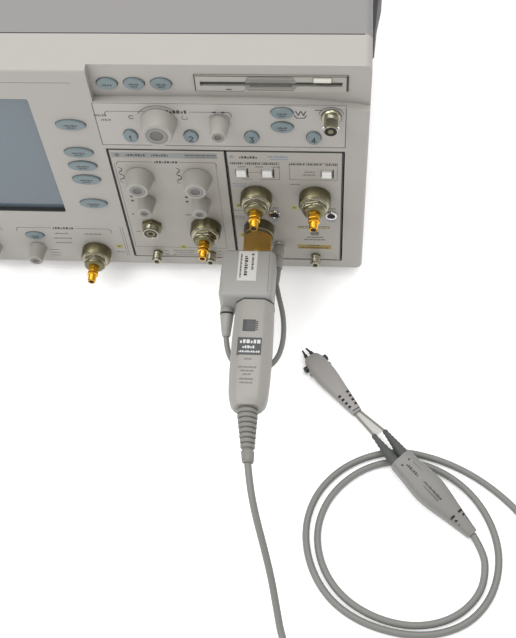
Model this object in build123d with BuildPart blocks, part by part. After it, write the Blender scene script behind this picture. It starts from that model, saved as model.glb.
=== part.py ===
from build123d import *
from math import cos, pi, radians, sin, tan
import os

# Bench oscilloscope with two plug-in modules and an active probe, in millimetres.
# X runs to the right as seen by the user, +Y runs to the back, +Z is up.
# The origin is on the bench, below the middle of the instrument.
# Positions on the front are (x, z) with z counted from the underside of the case.
# Depths are counted from the front face, positive towards the back.

os.makedirs("parts", exist_ok=True)

# Case
CASE_WIDTH = 425.5
CASE_HEIGHT = 215.0
CASE_DEPTH = 566.0
FOOT_HEIGHT = 12.0
CORNER_RADIUS = 5.0
EDGE_RADIUS = 2.5
BEZEL_DEPTH = 35.0
FACE_THICKNESS = 3.5
RIM_THICKNESS = 3.5
COVER_THICKNESS = 1.5
PANEL_THICKNESS = 3.0
SHEET_THICKNESS = 1.5
REAR_FOOT_LENGTH = 18.0
SAVER_LENGTH = 31.0

# The stepped-back strip of the face, for the run keys and the disk drive
STEP_DEPTH = 6.0
STEP_LEFT = 27.7
STEP_Z = 187.0
STEP_BEND_X = 130.0
STEP_DROP = 6.5

# Display
SCREEN_CENTRE = (-97.2, 128.1)
SCREEN_WIDTH = 161.6
SCREEN_HEIGHT = 121.6
WINDOW_MARGIN = 3.5
WINDOW_THICKNESS = 1.5
DISPLAY_THICKNESS = 14.0

# Control overlay
OVERLAY_LEFT = 26.9
OVERLAY_RIGHT = 196.8
OVERLAY_BOTTOM = 145.0
OVERLAY_THICKNESS = 0.5
OVERLAY_LEDGE_GAP = 1.2

# Module bay
BAY_LEFT = 28.0
BAY_RIGHT = 196.8
BAY_BOTTOM = 11.0
BAY_TOP = 141.0
MODULE_GAP = 0.9
MODULE_PLATE = 3.0
MODULE_DEPTH = 290.0
MODULE_INSET = 1.6
MODULE_WALL = 1.5
BAY_DIVIDER = 1.4

# Keys: outline width, height, corner radius, height above the face
KEY_GAP = 0.35
KEY_FLANGE = 1.2
KEY_FLANGE_LIP = 1.2
KEY_FLANGE_GAP = 0.4
KEY_STEM_END = 11.0
STEP_KEY_STEM_END = 12.0
BOARD_DEPTH = 14.0
BOARD_THICKNESS = 1.6

MODE_KEY = (21.2, 9.9, 1.7)
MENU_KEY = (15.0, 9.8, 1.7)
RUN_KEY = (14.2, 9.8, 1.7)
TRIGGER_KEY = (15.2, 8.8, 1.7)
CHANNEL_KEY = (9.8, 12.0, 1.8)
SMALL_KEY = (7.0, 6.0, 1.8)
SMALL_KEY_CORNER = 0.6
SMALL_KEY_EDGE = 0.45
KEY_EDGE_RADIUS = 0.9

FACE_KEYS = {
    "mode_key_1": (8.2, 165.0, MODE_KEY),
    "mode_key_2": (7.9, 136.8, MODE_KEY),
    "mode_key_3": (7.9, 122.5, MODE_KEY),
    "mode_key_4": (7.6, 107.2, MODE_KEY),
    "mode_key_5": (7.5, 79.3, MODE_KEY),
    "setup_key": (154.3, 178.7, MENU_KEY),
    "local_key": (154.1, 165.3, MENU_KEY),
    "channel_key_1": (48.5, 154.9, CHANNEL_KEY),
    "channel_key_2": (90.6, 154.9, CHANNEL_KEY),
    "channel_key_3": (132.7, 154.9, CHANNEL_KEY),
    "channel_key_4": (175.2, 154.9, CHANNEL_KEY),
    "trigger_key": (-48.5, 37.2, TRIGGER_KEY),
}
STEP_KEYS = {
    "run_key": (38.8, 198.6, RUN_KEY),
    "stop_key": (56.9, 198.6, RUN_KEY),
    "clear_key": (75.0, 198.6, RUN_KEY),
}
MODULE_KEYS = {
    "module_key_1": (122.9, 117.0, SMALL_KEY),
    "module_key_2": (141.6, 117.0, SMALL_KEY),
    "module_key_3": (184.2, 117.0, SMALL_KEY),
}

# Knobs: base diameter, tip diameter, height
SHAFT_RADIUS = 3.0
SHAFT_CLEARANCE = 0.06
SHAFT_HOLE_GAP = 0.6
KNOB_STAND_OFF = 0.4
KNOB_DIMPLE = 0.8
DIMPLE_SHARE = 0.24
ENCODER_SIZE = 12.0
ENCODER_FRONT = 6.5
LARGE_KNOB = (25.0, 21.0, 13.0)
SMALL_KNOB = (13.6, 11.0, 13.5)
SCALE_KNOB = (21.5, 15.5, 13.0)
OFFSET_KNOB = (14.0, 10.5, 12.5)

FACE_KNOBS = {
    "horizontal_scale_knob": (70.2, 168.8, LARGE_KNOB),
    "horizontal_position_knob": (111.8, 168.6, SMALL_KNOB),
    "trigger_level_knob": (-49.6, 20.5, SMALL_KNOB),
    "marker_knob": (-87.0, 20.5, SMALL_KNOB),
}
MODULE_KNOBS = {
    "channel_1_scale_knob": (47.9, 110.3, SCALE_KNOB),
    "channel_1_offset_knob": (49.0, 83.2, OFFSET_KNOB),
    "channel_2_scale_knob": (90.2, 110.3, SCALE_KNOB),
    "channel_2_offset_knob": (90.6, 83.2, OFFSET_KNOB),
}

# Coaxial connectors: (radius, length) of each turned length, from the face outwards
SAVER_STEPS = [(11.75, 9.5), (9.3, 4.5), (8.2, 3.0), (4.7, 8.0), (3.175, 6.0)]
BARE_INPUT_STEPS = [(8.0, 3.5), (6.4, 5.0)]
BNC_STEPS = [(7.0, 2.5), (4.8, 11.2)]
PROBE_POWER_STEPS = [(4.0, 9.5)]
SAVER_BORE = (1.6, 4.0)
BNC_BORE = (3.9, 9.0)
BARE_INPUT_BORE = (4.2, 4.0)
PROBE_POWER_BORE = (1.7, 6.0)
CONNECTOR_TAIL = (6.0, 22.0)
JACK_RADIUS = 4.6
JACK_BORE_RADIUS = 3.0
JACK_PROUD = 1.6
JACK_TAIL = 12.0
JACK_FIT = 0.05

TRIGGER_INPUT = (-1.7, 17.5)
CALIBRATOR = (187.0, 175.5)
CHANNEL_1_INPUT = (48.5, 52.5)
CHANNEL_2_INPUT = (91.0, 52.5)
CHANNEL_3_INPUT = (132.4, 91.5)
CHANNEL_4_INPUT = (175.7, 91.5)
PROBED_INPUT = (132.4, 52.5)
POWER_POSTS_LEFT = [(48.3, 17.0), (91.8, 17.0)]
POWER_POST_RIGHT = (175.7, 17.0)
JACKS = [(145.0, 70.0), (187.8, 70.0)]
PROBE_JACK = (146.5, 31.0)

# Disk drive
DRIVE_CENTRE = (147.45, 199.5)
DRIVE_BEZEL = (100.1, 14.2)
DRIVE_BEZEL_PROUD = 1.0
DRIVE_BEZEL_THICKNESS = 5.0
DRIVE_BODY = (96.0, 12.7)
DRIVE_LENGTH = 126.0
SLOT_SIZE = (93.0, 3.8)
SLOT_Z = 199.5
FINGER_CUT_WIDTH = 30.0
EJECT_CENTRE = (181.0, 203.6)
EJECT_SIZE = (11.5, 2.9)
EJECT_PROUD = 1.6
EJECT_TRAVEL = 3.0
DOOR_THICKNESS = 0.8
DOOR_GAP = 0.3

# Power button
POWER_BUTTON = (-186.0, 24.0)
POWER_BUTTON_RADIUS = 7.5

# Fan
FAN_CENTRE = (-100.0, 122.0)
FAN_SIZE = 120.0
FAN_DEPTH = 25.0
FAN_BLADES = 7
FAN_RADIUS = 54.0
FAN_TIP_GAP = 3.0
FAN_HUB_RADIUS = 20.0

# Feet, handles and tilt bail
FOOT_X = 172.0
FRONT_FOOT_DEPTH = 62.0
BACK_FOOT_DEPTH = 500.0
FOOT_SIZE = (34.0, 26.0)
BAIL_RADIUS = 2.5
BAIL_HEIGHT = 6.8
BAIL_LENGTH = 62.0
BAIL_CLEARANCE = 0.08
BAIL_BEND = 9.0
HANDLE_Z = 130.0
HANDLE_WIDTH = 32.0
HANDLE_FRONT = 118.0
HANDLE_LENGTH = 236.0
HANDLE_REACH = 10.0
HANDLE_THICKNESS = 3.5
HANDLE_END = 30.0
HANDLE_RAMP = 24.0
SCREW_RADIUS = 2.0
SCREW_HEAD = (4.0, 1.8)
HANDLE_SCREW_LENGTH = 2.5
SCREW_LENGTH = 8.0
SCREW_FIT = 0.2

# Probe adapter, pod and lead
ADAPTER_LEFT = 107.6
ADAPTER_RIGHT = 147.6
ADAPTER_BOTTOM = 38.5
ADAPTER_TOP = 66.0
ADAPTER_REACH = (30.5, 72.5)
NUT_ACROSS = 20.5
POD_X = 134.4
POD_Z = 52.0
POD_SECTIONS = [
    (0.0, 27.5, 23.5),
    (12.0, 28.4, 24.0),
    (42.0, 29.0, 25.0),
    (72.0, 27.4, 23.0),
    (81.0, 24.6, 20.0),
    (84.5, 19.5, 17.0),
]
LATCH_SIZE = (8.2, 7.6)
LATCH_REACH = 23.0
LATCH_TRAVEL = 1.5
RELIEF_TIP = (137.2, -195.0, 47.6)
RELIEF_RADII = (7.4, 3.9)
CABLE_DIAMETER = 5.0
LEAD_DIAMETER = 4.0
BOOT_START = (112.8, -72.0, 46.0)
BOOT_TIP = (113.4, -92.5, 41.0)
BOOT_RADII = (5.6, 3.0)
PLUG_STEPS = [(5.2, 10.0), (4.4, 12.0), (3.4, 13.0)]

# Probe on the bench
AMPLIFIER_START = (241.8, -166.8, 1.8)
AMPLIFIER_TIP = (292.3, -218.0, -6.6)
AMPLIFIER_SECTIONS = [
    (0.0, 17.6, 13.8),
    (0.15, 18.9, 15.0),
    (0.4, 22.0, 15.0),
    (0.55, 19.4, 14.2),
    (0.72, 14.6, 12.0),
    (1.0, 8.0, 8.2),
]
BOOT_SPREAD = 4.3
LEAD_BOOT_RADII = (4.2, 2.0)
LEAD_RADIUS = 0.9
LEAD_SPREAD = 2.4
LEAD_TIPS = [(223.5, -146.4, -3.5), (231.5, -142.5, -3.5)]
HEAD_START = (211.4, -126.4, -7.4)
HEAD_TIP = (174.4, -79.4, -7.4)
HEAD_SECTIONS = [(0.0, 8.2, 6.6), (0.35, 13.0, 8.0), (0.68, 17.4, 8.5), (0.88, 16.6, 8.4), (1.0, 12.0, 6.4)]
WHEEL = (3.0, 3.2)
WHEEL_PLACE = 0.86
WHEEL_ROOT = 7.0
BUMP = (1.4, 2.0)
BUMP_PLACE = 0.74
PIN_SPREAD = (3.1, 1.7)
PIN_LENGTH = 9.0
PIN_RADII = (1.3, 0.5)

FRONT_Y = (SAVER_LENGTH - CASE_DEPTH - REAR_FOOT_LENGTH) / 2
STEP_FACE = STEP_DEPTH + FACE_THICKNESS
HALF_WIDTH = CASE_WIDTH / 2
INNER_HALF = HALF_WIDTH - RIM_THICKNESS
MODULE_WIDTH = (BAY_RIGHT - BAY_LEFT - 3 * MODULE_GAP) / 2
MODULE_HEIGHT = BAY_TOP - BAY_BOTTOM - 2 * MODULE_GAP
MODULE_Z = (BAY_BOTTOM + BAY_TOP) / 2
LEFT_MODULE_X = BAY_LEFT + MODULE_GAP + MODULE_WIDTH / 2
RIGHT_MODULE_X = BAY_RIGHT - MODULE_GAP - MODULE_WIDTH / 2
BAY_MIDDLE_X = (BAY_LEFT + BAY_RIGHT) / 2


def face(depth):
    """The plane parallel to the front at a depth, whose (x, y) is the front's (x, z)."""
    return Plane(origin=(0, FRONT_Y + depth, FOOT_HEIGHT), x_dir=(1, 0, 0), z_dir=(0, -1, 0))


def place(x, y, z):
    """A point given from the front face and the underside of the case."""
    return Vector(x, FRONT_Y + y, FOOT_HEIGHT + z)


def save(piece, label):
    piece.part.label = label
    export_step(piece.part, f"parts/{label}.step")


def block(x0, x1, depth0, depth1, z0, z1, mode=Mode.ADD):
    """A rectangular block between two depths, added to the open part."""
    with BuildSketch(face(depth0)) as outline:
        with Locations(((x0 + x1) / 2, (z0 + z1) / 2)):
            Rectangle(x1 - x0, z1 - z0)
    extrude(outline.sketch, amount=depth0 - depth1, mode=mode)


def rod(x, z, radius, depth0, depth1, mode=Mode.ADD):
    """A round bar along Y between two depths, added to the open part."""
    with BuildSketch(face(depth0)) as outline:
        with Locations((x, z)):
            Circle(radius)
    extrude(outline.sketch, amount=depth0 - depth1, mode=mode)


def key_outline(x, z, shape, gap=0.0):
    width, height, _ = shape
    with Locations((x, z)):
        if shape == SMALL_KEY:
            RectangleRounded(width + 2 * gap, height + 2 * gap, SMALL_KEY_CORNER + gap)
        else:
            Ellipse(width / 2 + gap, height / 2 + gap)


def ledge_z(x):
    """Height of the step's ledge: level, then falling along one large arc towards the right."""
    radius = ((HALF_WIDTH - STEP_BEND_X) ** 2 + STEP_DROP**2) / (2 * STEP_DROP)
    return STEP_Z - radius + (radius**2 - (x - STEP_BEND_X) ** 2) ** 0.5


def under_or_over_ledge(offset, left, right, far_side):
    """The outline between the ledge, lowered by an offset, and a level line on its far side."""
    left_corner = (left, STEP_Z - offset)
    bend = (STEP_BEND_X, STEP_Z - offset)
    right_corner = (right, ledge_z(right) - offset)
    with BuildLine() as outline:
        Line(left_corner, bend)
        TangentArc(bend, right_corner, tangent=(1, 0))
        Polyline(right_corner, (right, far_side), (left, far_side), left_corner)
    make_face(outline.edges())


# ---------------------------------------------------------------- front bezel
BOSSES = [(-160, 30), (-110, 45), (16, 60), (16, 183), (36, 180), (203, 150), (60, 150), (120, 150)]
BOSS_RADIUS = 3.2

with BuildPart() as front_bezel:
    with BuildSketch(face(0)):
        with Locations((0, CASE_HEIGHT / 2)):
            RectangleRounded(CASE_WIDTH, CASE_HEIGHT, CORNER_RADIUS)
    extrude(amount=-BEZEL_DEPTH)
    fillet(front_bezel.faces().sort_by(Axis.Y)[0].edges(), EDGE_RADIUS)
    block(-INNER_HALF, INNER_HALF, FACE_THICKNESS, BEZEL_DEPTH, RIM_THICKNESS,
          CASE_HEIGHT - RIM_THICKNESS, mode=Mode.SUBTRACT)
    with BuildSketch(face(EDGE_RADIUS)):
        under_or_over_ledge(FACE_THICKNESS, STEP_LEFT - FACE_THICKNESS, INNER_HALF + 1, CASE_HEIGHT - 2)
    extrude(amount=EDGE_RADIUS - STEP_FACE)
    with BuildSketch(face(-1)):
        under_or_over_ledge(0, STEP_LEFT, HALF_WIDTH + 10, CASE_HEIGHT + 10)
    extrude(amount=-(STEP_DEPTH + 1), mode=Mode.SUBTRACT)
    with BuildSketch(face(FACE_THICKNESS)):
        with Locations(BOSSES):
            Circle(BOSS_RADIUS)
    extrude(amount=FACE_THICKNESS - BOARD_DEPTH)
    with BuildSketch(face(0)):
        with Locations(SCREEN_CENTRE):
            RectangleRounded(SCREEN_WIDTH, SCREEN_HEIGHT, 2)
        with Locations((BAY_MIDDLE_X, MODULE_Z)):
            RectangleRounded(BAY_RIGHT - BAY_LEFT, BAY_TOP - BAY_BOTTOM, 1)
        for x, z, shape in FACE_KEYS.values():
            key_outline(x, z, shape, KEY_GAP)
        for x, z, shape in FACE_KNOBS.values():
            with Locations((x, z)):
                Circle(SHAFT_RADIUS + SHAFT_HOLE_GAP)
        with Locations(TRIGGER_INPUT, CALIBRATOR):
            Circle(CONNECTOR_TAIL[0] + SCREW_FIT)
        with Locations(POWER_BUTTON):
            Circle(POWER_BUTTON_RADIUS + KEY_GAP)
    extrude(amount=-FACE_THICKNESS, mode=Mode.SUBTRACT)
    with BuildSketch(face(FACE_THICKNESS)):
        for x, z, shape in FACE_KEYS.values():
            key_outline(x, z, shape, KEY_FLANGE_LIP + KEY_GAP)
        with Locations(CALIBRATOR):
            Circle(CONNECTOR_TAIL[0] + SCREW_FIT)
    extrude(amount=FACE_THICKNESS - STEP_FACE, mode=Mode.SUBTRACT)
    with BuildSketch(face(STEP_DEPTH)):
        for x, z, shape in STEP_KEYS.values():
            key_outline(x, z, shape, KEY_GAP)
        with Locations(DRIVE_CENTRE):
            Rectangle(DRIVE_BEZEL[0] + 2 * KEY_GAP, DRIVE_BEZEL[1] + 2 * KEY_GAP)
    extrude(amount=-FACE_THICKNESS, mode=Mode.SUBTRACT)
    with BuildSketch(face(0)):
        under_or_over_ledge(OVERLAY_LEDGE_GAP - KEY_GAP, OVERLAY_LEFT - KEY_GAP, OVERLAY_RIGHT + KEY_GAP,
                            OVERLAY_BOTTOM - KEY_GAP)
    extrude(amount=-OVERLAY_THICKNESS, mode=Mode.SUBTRACT)
    save(front_bezel, "front_bezel")

# ---------------------------------------------------------------- control overlay and display
with BuildPart() as control_overlay:
    with BuildSketch(face(0)):
        under_or_over_ledge(OVERLAY_LEDGE_GAP, OVERLAY_LEFT, OVERLAY_RIGHT, OVERLAY_BOTTOM)
        for x, z, shape in FACE_KEYS.values():
            with Locations((x, z)):
                Ellipse(shape[0] / 2 + KEY_GAP, shape[1] / 2 + KEY_GAP, mode=Mode.SUBTRACT)
        for x, z, shape in FACE_KNOBS.values():
            with Locations((x, z)):
                Circle(SHAFT_RADIUS + SHAFT_HOLE_GAP, mode=Mode.SUBTRACT)
        with Locations(CALIBRATOR):
            Circle(CONNECTOR_TAIL[0] + SCREW_FIT, mode=Mode.SUBTRACT)
    extrude(amount=-OVERLAY_THICKNESS)
    save(control_overlay, "control_overlay")

WINDOW_BACK = FACE_THICKNESS + WINDOW_THICKNESS
with BuildPart() as display_window:
    with BuildSketch(face(FACE_THICKNESS)):
        with Locations(SCREEN_CENTRE):
            Rectangle(SCREEN_WIDTH + 2 * WINDOW_MARGIN, SCREEN_HEIGHT + 2 * WINDOW_MARGIN)
    extrude(amount=-WINDOW_THICKNESS)
    save(display_window, "display_window")

with BuildPart() as display_panel:
    with BuildSketch(face(WINDOW_BACK)):
        with Locations(SCREEN_CENTRE):
            Rectangle(SCREEN_WIDTH + 2 * WINDOW_MARGIN, SCREEN_HEIGHT + 2 * WINDOW_MARGIN)
    extrude(amount=-DISPLAY_THICKNESS)
    chamfer(display_panel.faces().sort_by(Axis.Y)[-1].edges(), 1.5)
    save(display_panel, "display_panel")

# ---------------------------------------------------------------- keys
def make_key(label, x, z, shape, front, wall, stem_end):
    """A moulded key: cap through its hole, with a flange behind the wall and a stem."""
    flange_front = front + wall + KEY_FLANGE_GAP
    with BuildPart() as key:
        with BuildSketch(face(front + wall)):
            key_outline(x, z, shape)
        extrude(amount=wall + shape[2])
        edge_radius = SMALL_KEY_EDGE if shape == SMALL_KEY else KEY_EDGE_RADIUS
        fillet(key.faces().sort_by(Axis.Y)[0].edges(), edge_radius)
        with BuildSketch(face(front + wall)):
            key_outline(x, z, shape, -KEY_GAP)
        extrude(amount=-KEY_FLANGE_GAP)
        with BuildSketch(face(flange_front)):
            key_outline(x, z, shape, KEY_FLANGE_LIP)
        extrude(amount=-KEY_FLANGE)
        rod(x, z, min(shape[1] / 2 - 1, 3.0), flange_front + KEY_FLANGE, stem_end)
    save(key, label)


for label, (x, z, shape) in FACE_KEYS.items():
    make_key(label, x, z, shape, 0, FACE_THICKNESS, KEY_STEM_END)
for label, (x, z, shape) in STEP_KEYS.items():
    make_key(label, x, z, shape, STEP_DEPTH, FACE_THICKNESS, STEP_KEY_STEM_END)
for label, (x, z, shape) in MODULE_KEYS.items():
    make_key(label, x, z, shape, 0, MODULE_PLATE, KEY_STEM_END)

with BuildPart() as power_button:
    rod(*POWER_BUTTON, POWER_BUTTON_RADIUS, -2.0, FACE_THICKNESS)
    fillet(power_button.faces().sort_by(Axis.Y)[0].edges(), 1.2)
    rod(*POWER_BUTTON, POWER_BUTTON_RADIUS - 1, FACE_THICKNESS, FACE_THICKNESS + KEY_FLANGE_GAP)
    rod(*POWER_BUTTON, POWER_BUTTON_RADIUS + KEY_FLANGE_LIP, FACE_THICKNESS + KEY_FLANGE_GAP,
        FACE_THICKNESS + KEY_FLANGE_GAP + KEY_FLANGE)
    rod(*POWER_BUTTON, SHAFT_RADIUS, FACE_THICKNESS + KEY_FLANGE_GAP + KEY_FLANGE, KEY_STEM_END)
    save(power_button, "power_button")


# ---------------------------------------------------------------- knobs
def make_knob(label, x, z, shape, shaft_end):
    """A turned knob with a rounded tip, a dimple in its face and a shaft through the panel."""
    base, tip, height = shape
    with BuildPart() as knob:
        with BuildSketch(face(-KNOB_STAND_OFF)):
            with Locations((x, z)):
                Circle(base / 2)
        with BuildSketch(face(-KNOB_STAND_OFF - height)):
            with Locations((x, z)):
                Circle(tip / 2)
        loft()
        fillet(knob.edges().group_by(Axis.Y)[0], 1.2)
        crown = -KNOB_STAND_OFF - height
        rod(x, z, tip * DIMPLE_SHARE, crown, crown + KNOB_DIMPLE, Mode.SUBTRACT)
        rod(x, z, SHAFT_RADIUS, -KNOB_STAND_OFF - 1, shaft_end)
    save(knob, label)


for label, (x, z, shape) in FACE_KNOBS.items():
    make_knob(label, x, z, shape, BOARD_DEPTH - 1)
for label, (x, z, shape) in MODULE_KNOBS.items():
    make_knob(label, x, z, shape, MODULE_PLATE + 6)


# ---------------------------------------------------------------- connectors
def connector(x, z, steps, bore, tail=None):
    """A turned coaxial connector standing on the face, added to the open part."""
    front = 0.0
    for radius, length in steps:
        rod(x, z, radius, front - length, front)
        front -= length
    rod(x, z, bore[0], front, front + bore[1], Mode.SUBTRACT)
    if tail:
        rod(x, z, tail[0], 0, tail[1])


def jack(x, z):
    """A round power jack set into the module's plate."""
    rod(x, z, JACK_RADIUS, -JACK_PROUD, MODULE_PLATE + JACK_TAIL)
    rod(x, z, JACK_BORE_RADIUS, -JACK_PROUD, JACK_TAIL, Mode.SUBTRACT)


with BuildPart() as panel_connectors:
    connector(*TRIGGER_INPUT, SAVER_STEPS, SAVER_BORE, CONNECTOR_TAIL)
    connector(*CALIBRATOR, BNC_STEPS, BNC_BORE, CONNECTOR_TAIL)
    save(panel_connectors, "panel_connectors")

with BuildPart() as left_module_connectors:
    connector(*CHANNEL_1_INPUT, BARE_INPUT_STEPS, BARE_INPUT_BORE)
    connector(*CHANNEL_2_INPUT, SAVER_STEPS, SAVER_BORE)
    for x, z in POWER_POSTS_LEFT:
        connector(x, z, PROBE_POWER_STEPS, PROBE_POWER_BORE)
    save(left_module_connectors, "left_module_connectors")

NUT_END = ADAPTER_REACH[0]
with BuildPart() as right_module_connectors:
    connector(*CHANNEL_3_INPUT, SAVER_STEPS, SAVER_BORE)
    connector(*CHANNEL_4_INPUT, SAVER_STEPS, SAVER_BORE)
    connector(*POWER_POST_RIGHT, PROBE_POWER_STEPS, PROBE_POWER_BORE)
    rod(*PROBED_INPUT, SAVER_STEPS[0][0], -SAVER_STEPS[0][1], 0)
    with BuildSketch(face(-SAVER_STEPS[0][1])):
        with Locations(PROBED_INPUT):
            RegularPolygon(NUT_ACROSS / 2, 6, major_radius=False)
    extrude(amount=NUT_END - SAVER_STEPS[0][1])
    for x, z in [*JACKS, PROBE_JACK]:
        jack(x, z)
    save(right_module_connectors, "right_module_connectors")


# ---------------------------------------------------------------- plug-in modules
def make_module(label, centre_x, knobs, keys, jacks):
    """A module: face plate, bearing bosses behind it and a sheet-metal shell open at its back."""
    half = MODULE_WIDTH / 2
    low = MODULE_Z - MODULE_HEIGHT / 2
    high = MODULE_Z + MODULE_HEIGHT / 2
    with BuildPart() as module:
        block(centre_x - half, centre_x + half, 0, MODULE_PLATE, low, high)
        chamfer(module.faces().sort_by(Axis.Y)[0].edges(), 0.4)
        for x, z, _ in knobs:
            rod(x, z, SHAFT_RADIUS + 2.5, MODULE_PLATE, MODULE_PLATE + 6)
        inset = MODULE_INSET
        block(centre_x - half + inset, centre_x + half - inset, MODULE_PLATE, MODULE_DEPTH,
              low + inset, high - inset)
        inset += MODULE_WALL
        block(centre_x - half + inset, centre_x + half - inset, MODULE_PLATE + 6, MODULE_DEPTH,
              low + inset, high - inset, mode=Mode.SUBTRACT)
        wall = inset
        with BuildSketch(face(MODULE_PLATE)):
            with Locations((centre_x, MODULE_Z)):
                Rectangle(2 * (half - wall), 2 * (high - MODULE_Z - wall))
            for x, z, _ in knobs:
                with Locations((x, z)):
                    Circle(SHAFT_RADIUS + 2.5, mode=Mode.SUBTRACT)
        extrude(amount=-6, mode=Mode.SUBTRACT)
        with BuildSketch(face(0)):
            for x, z, _ in knobs:
                with Locations((x, z)):
                    Circle(SHAFT_RADIUS + SHAFT_CLEARANCE)
            for x, z, shape in keys:
                key_outline(x, z, shape, KEY_GAP)
            for x, z in jacks:
                with Locations((x, z)):
                    Circle(JACK_RADIUS + JACK_FIT)
        extrude(amount=-(MODULE_PLATE + 6), mode=Mode.SUBTRACT)
    save(module, label)


make_module("left_module", LEFT_MODULE_X, list(MODULE_KNOBS.values()), [], [])
make_module("right_module", RIGHT_MODULE_X, [], list(MODULE_KEYS.values()), [*JACKS, PROBE_JACK])

# ---------------------------------------------------------------- circuit boards
COLUMN_LEFT = SCREEN_CENTRE[0] + SCREEN_WIDTH / 2 + WINDOW_MARGIN + 0.5
BACKPLANE_DEPTH = MODULE_DEPTH + 6
REAR_INSIDE = CASE_DEPTH - PANEL_THICKNESS
REAR_PORTS = [(-150, 14, 12), (-122, 30, 12), (-80, 40, 11), (-30, 36, 11), (10, 16, 14), (38, 16, 14)]
PORT_FIT = 0.3
SYSTEM_BOARD_Z = 12.0
with BuildPart() as circuit_boards:
    with BuildSketch(face(BOARD_DEPTH)):
        for x0, x1, z0, z1 in (
            (COLUMN_LEFT, BAY_LEFT - 2, 6, STEP_Z - 2),
            (BAY_LEFT - 2, INNER_HALF - 3, BAY_TOP + 3, STEP_Z - 2),
            (BAY_LEFT - 2, 86, STEP_Z - 2, 207),
            (-INNER_HALF + 3, COLUMN_LEFT, 6, SCREEN_CENTRE[1] - SCREEN_HEIGHT / 2 - WINDOW_MARGIN - 1),
        ):
            with Locations(((x0 + x1) / 2, (z0 + z1) / 2)):
                Rectangle(x1 - x0, z1 - z0)
        with Locations(TRIGGER_INPUT, CALIBRATOR):
            Circle(CONNECTOR_TAIL[0] + 1, mode=Mode.SUBTRACT)
    extrude(amount=-BOARD_THICKNESS)
    with BuildSketch(face(ENCODER_FRONT)):
        for x, z, _ in FACE_KNOBS.values():
            with Locations((x, z)):
                Rectangle(ENCODER_SIZE, ENCODER_SIZE)
                Circle(SHAFT_RADIUS + SHAFT_CLEARANCE, mode=Mode.SUBTRACT)
    extrude(amount=ENCODER_FRONT - BOARD_DEPTH)
    block(BAY_LEFT - 2, INNER_HALF - 3, BACKPLANE_DEPTH, BACKPLANE_DEPTH + BOARD_THICKNESS, 16, BAY_TOP - 4)
    block(-195, 62, 405, REAR_INSIDE - 4, SYSTEM_BOARD_Z, SYSTEM_BOARD_Z + BOARD_THICKNESS)
    for x, width, height in REAR_PORTS:
        base = SYSTEM_BOARD_Z + BOARD_THICKNESS
        block(x - width / 2, x + width / 2, REAR_INSIDE - 18, CASE_DEPTH + 1.5, base, base + height)
    block(-150, -90, 440, 500, SYSTEM_BOARD_Z + BOARD_THICKNESS, SYSTEM_BOARD_Z + BOARD_THICKNESS + 22)
    save(circuit_boards, "circuit_boards")

# ---------------------------------------------------------------- disk drive
DRIVE_X, DRIVE_Z = DRIVE_CENTRE
DRIVE_FACE = STEP_DEPTH - DRIVE_BEZEL_PROUD
DRIVE_BACK = DRIVE_FACE + DRIVE_BEZEL_THICKNESS
EJECT_X, EJECT_Z = EJECT_CENTRE
DOOR_TOP = SLOT_Z + SLOT_SIZE[1] / 2
with BuildPart() as disk_drive:
    with BuildSketch(face(DRIVE_BACK)):
        with Locations(DRIVE_CENTRE):
            RectangleRounded(*DRIVE_BEZEL, 0.8)
    extrude(amount=DRIVE_BEZEL_THICKNESS)
    block(DRIVE_X - DRIVE_BODY[0] / 2, DRIVE_X + DRIVE_BODY[0] / 2, DRIVE_BACK, DRIVE_BACK + DRIVE_LENGTH,
          DRIVE_Z - DRIVE_BODY[1] / 2, DRIVE_Z + DRIVE_BODY[1] / 2)
    with BuildSketch(face(DRIVE_FACE)):
        with Locations((DRIVE_X, SLOT_Z)):
            Rectangle(*SLOT_SIZE)
    extrude(amount=-DRIVE_LENGTH + 10, mode=Mode.SUBTRACT)
    block(DRIVE_X - SLOT_SIZE[0] / 2, DRIVE_X + SLOT_SIZE[0] / 2, DRIVE_BACK, DRIVE_BACK + DRIVE_LENGTH - 20,
          DRIVE_Z - 5, SLOT_Z + SLOT_SIZE[1] / 2, mode=Mode.SUBTRACT)
    with BuildSketch(face(DRIVE_FACE)):
        with Locations((DRIVE_X, SLOT_Z)):
            Trapezoid(FINGER_CUT_WIDTH, SLOT_SIZE[1] + 6.0, 70, mode=Mode.ADD)
    extrude(amount=-1.2, mode=Mode.SUBTRACT)
    block(EJECT_X - EJECT_SIZE[0] / 2 - KEY_GAP, EJECT_X + EJECT_SIZE[0] / 2 + KEY_GAP, DRIVE_FACE,
          DRIVE_BACK + 12, EJECT_Z - EJECT_SIZE[1] / 2 - KEY_GAP, EJECT_Z + EJECT_SIZE[1] / 2 + KEY_GAP,
          mode=Mode.SUBTRACT)
    save(disk_drive, "disk_drive")

with BuildPart() as eject_button:
    block(EJECT_X - EJECT_SIZE[0] / 2, EJECT_X + EJECT_SIZE[0] / 2, DRIVE_FACE - EJECT_PROUD,
          DRIVE_BACK + 12 - EJECT_TRAVEL - 1, EJECT_Z - EJECT_SIZE[1] / 2, EJECT_Z + EJECT_SIZE[1] / 2)
    fillet(eject_button.faces().sort_by(Axis.Y)[0].edges(), 0.6)
    save(eject_button, "eject_button")

DOOR_DEPTH = DRIVE_FACE + 1.8
with BuildPart() as disk_door:
    block(DRIVE_X - SLOT_SIZE[0] / 2 + DOOR_GAP, DRIVE_X + SLOT_SIZE[0] / 2 - DOOR_GAP, DOOR_DEPTH,
          DOOR_DEPTH + DOOR_THICKNESS, DOOR_TOP - SLOT_SIZE[1] + DOOR_GAP, DOOR_TOP - DOOR_GAP)
    top_edges = disk_door.faces().sort_by(Axis.Z)[-1].edges().filter_by(Axis.X)
    fillet(top_edges, DOOR_THICKNESS / 2 - 0.01)
    save(disk_door, "disk_door")

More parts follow.
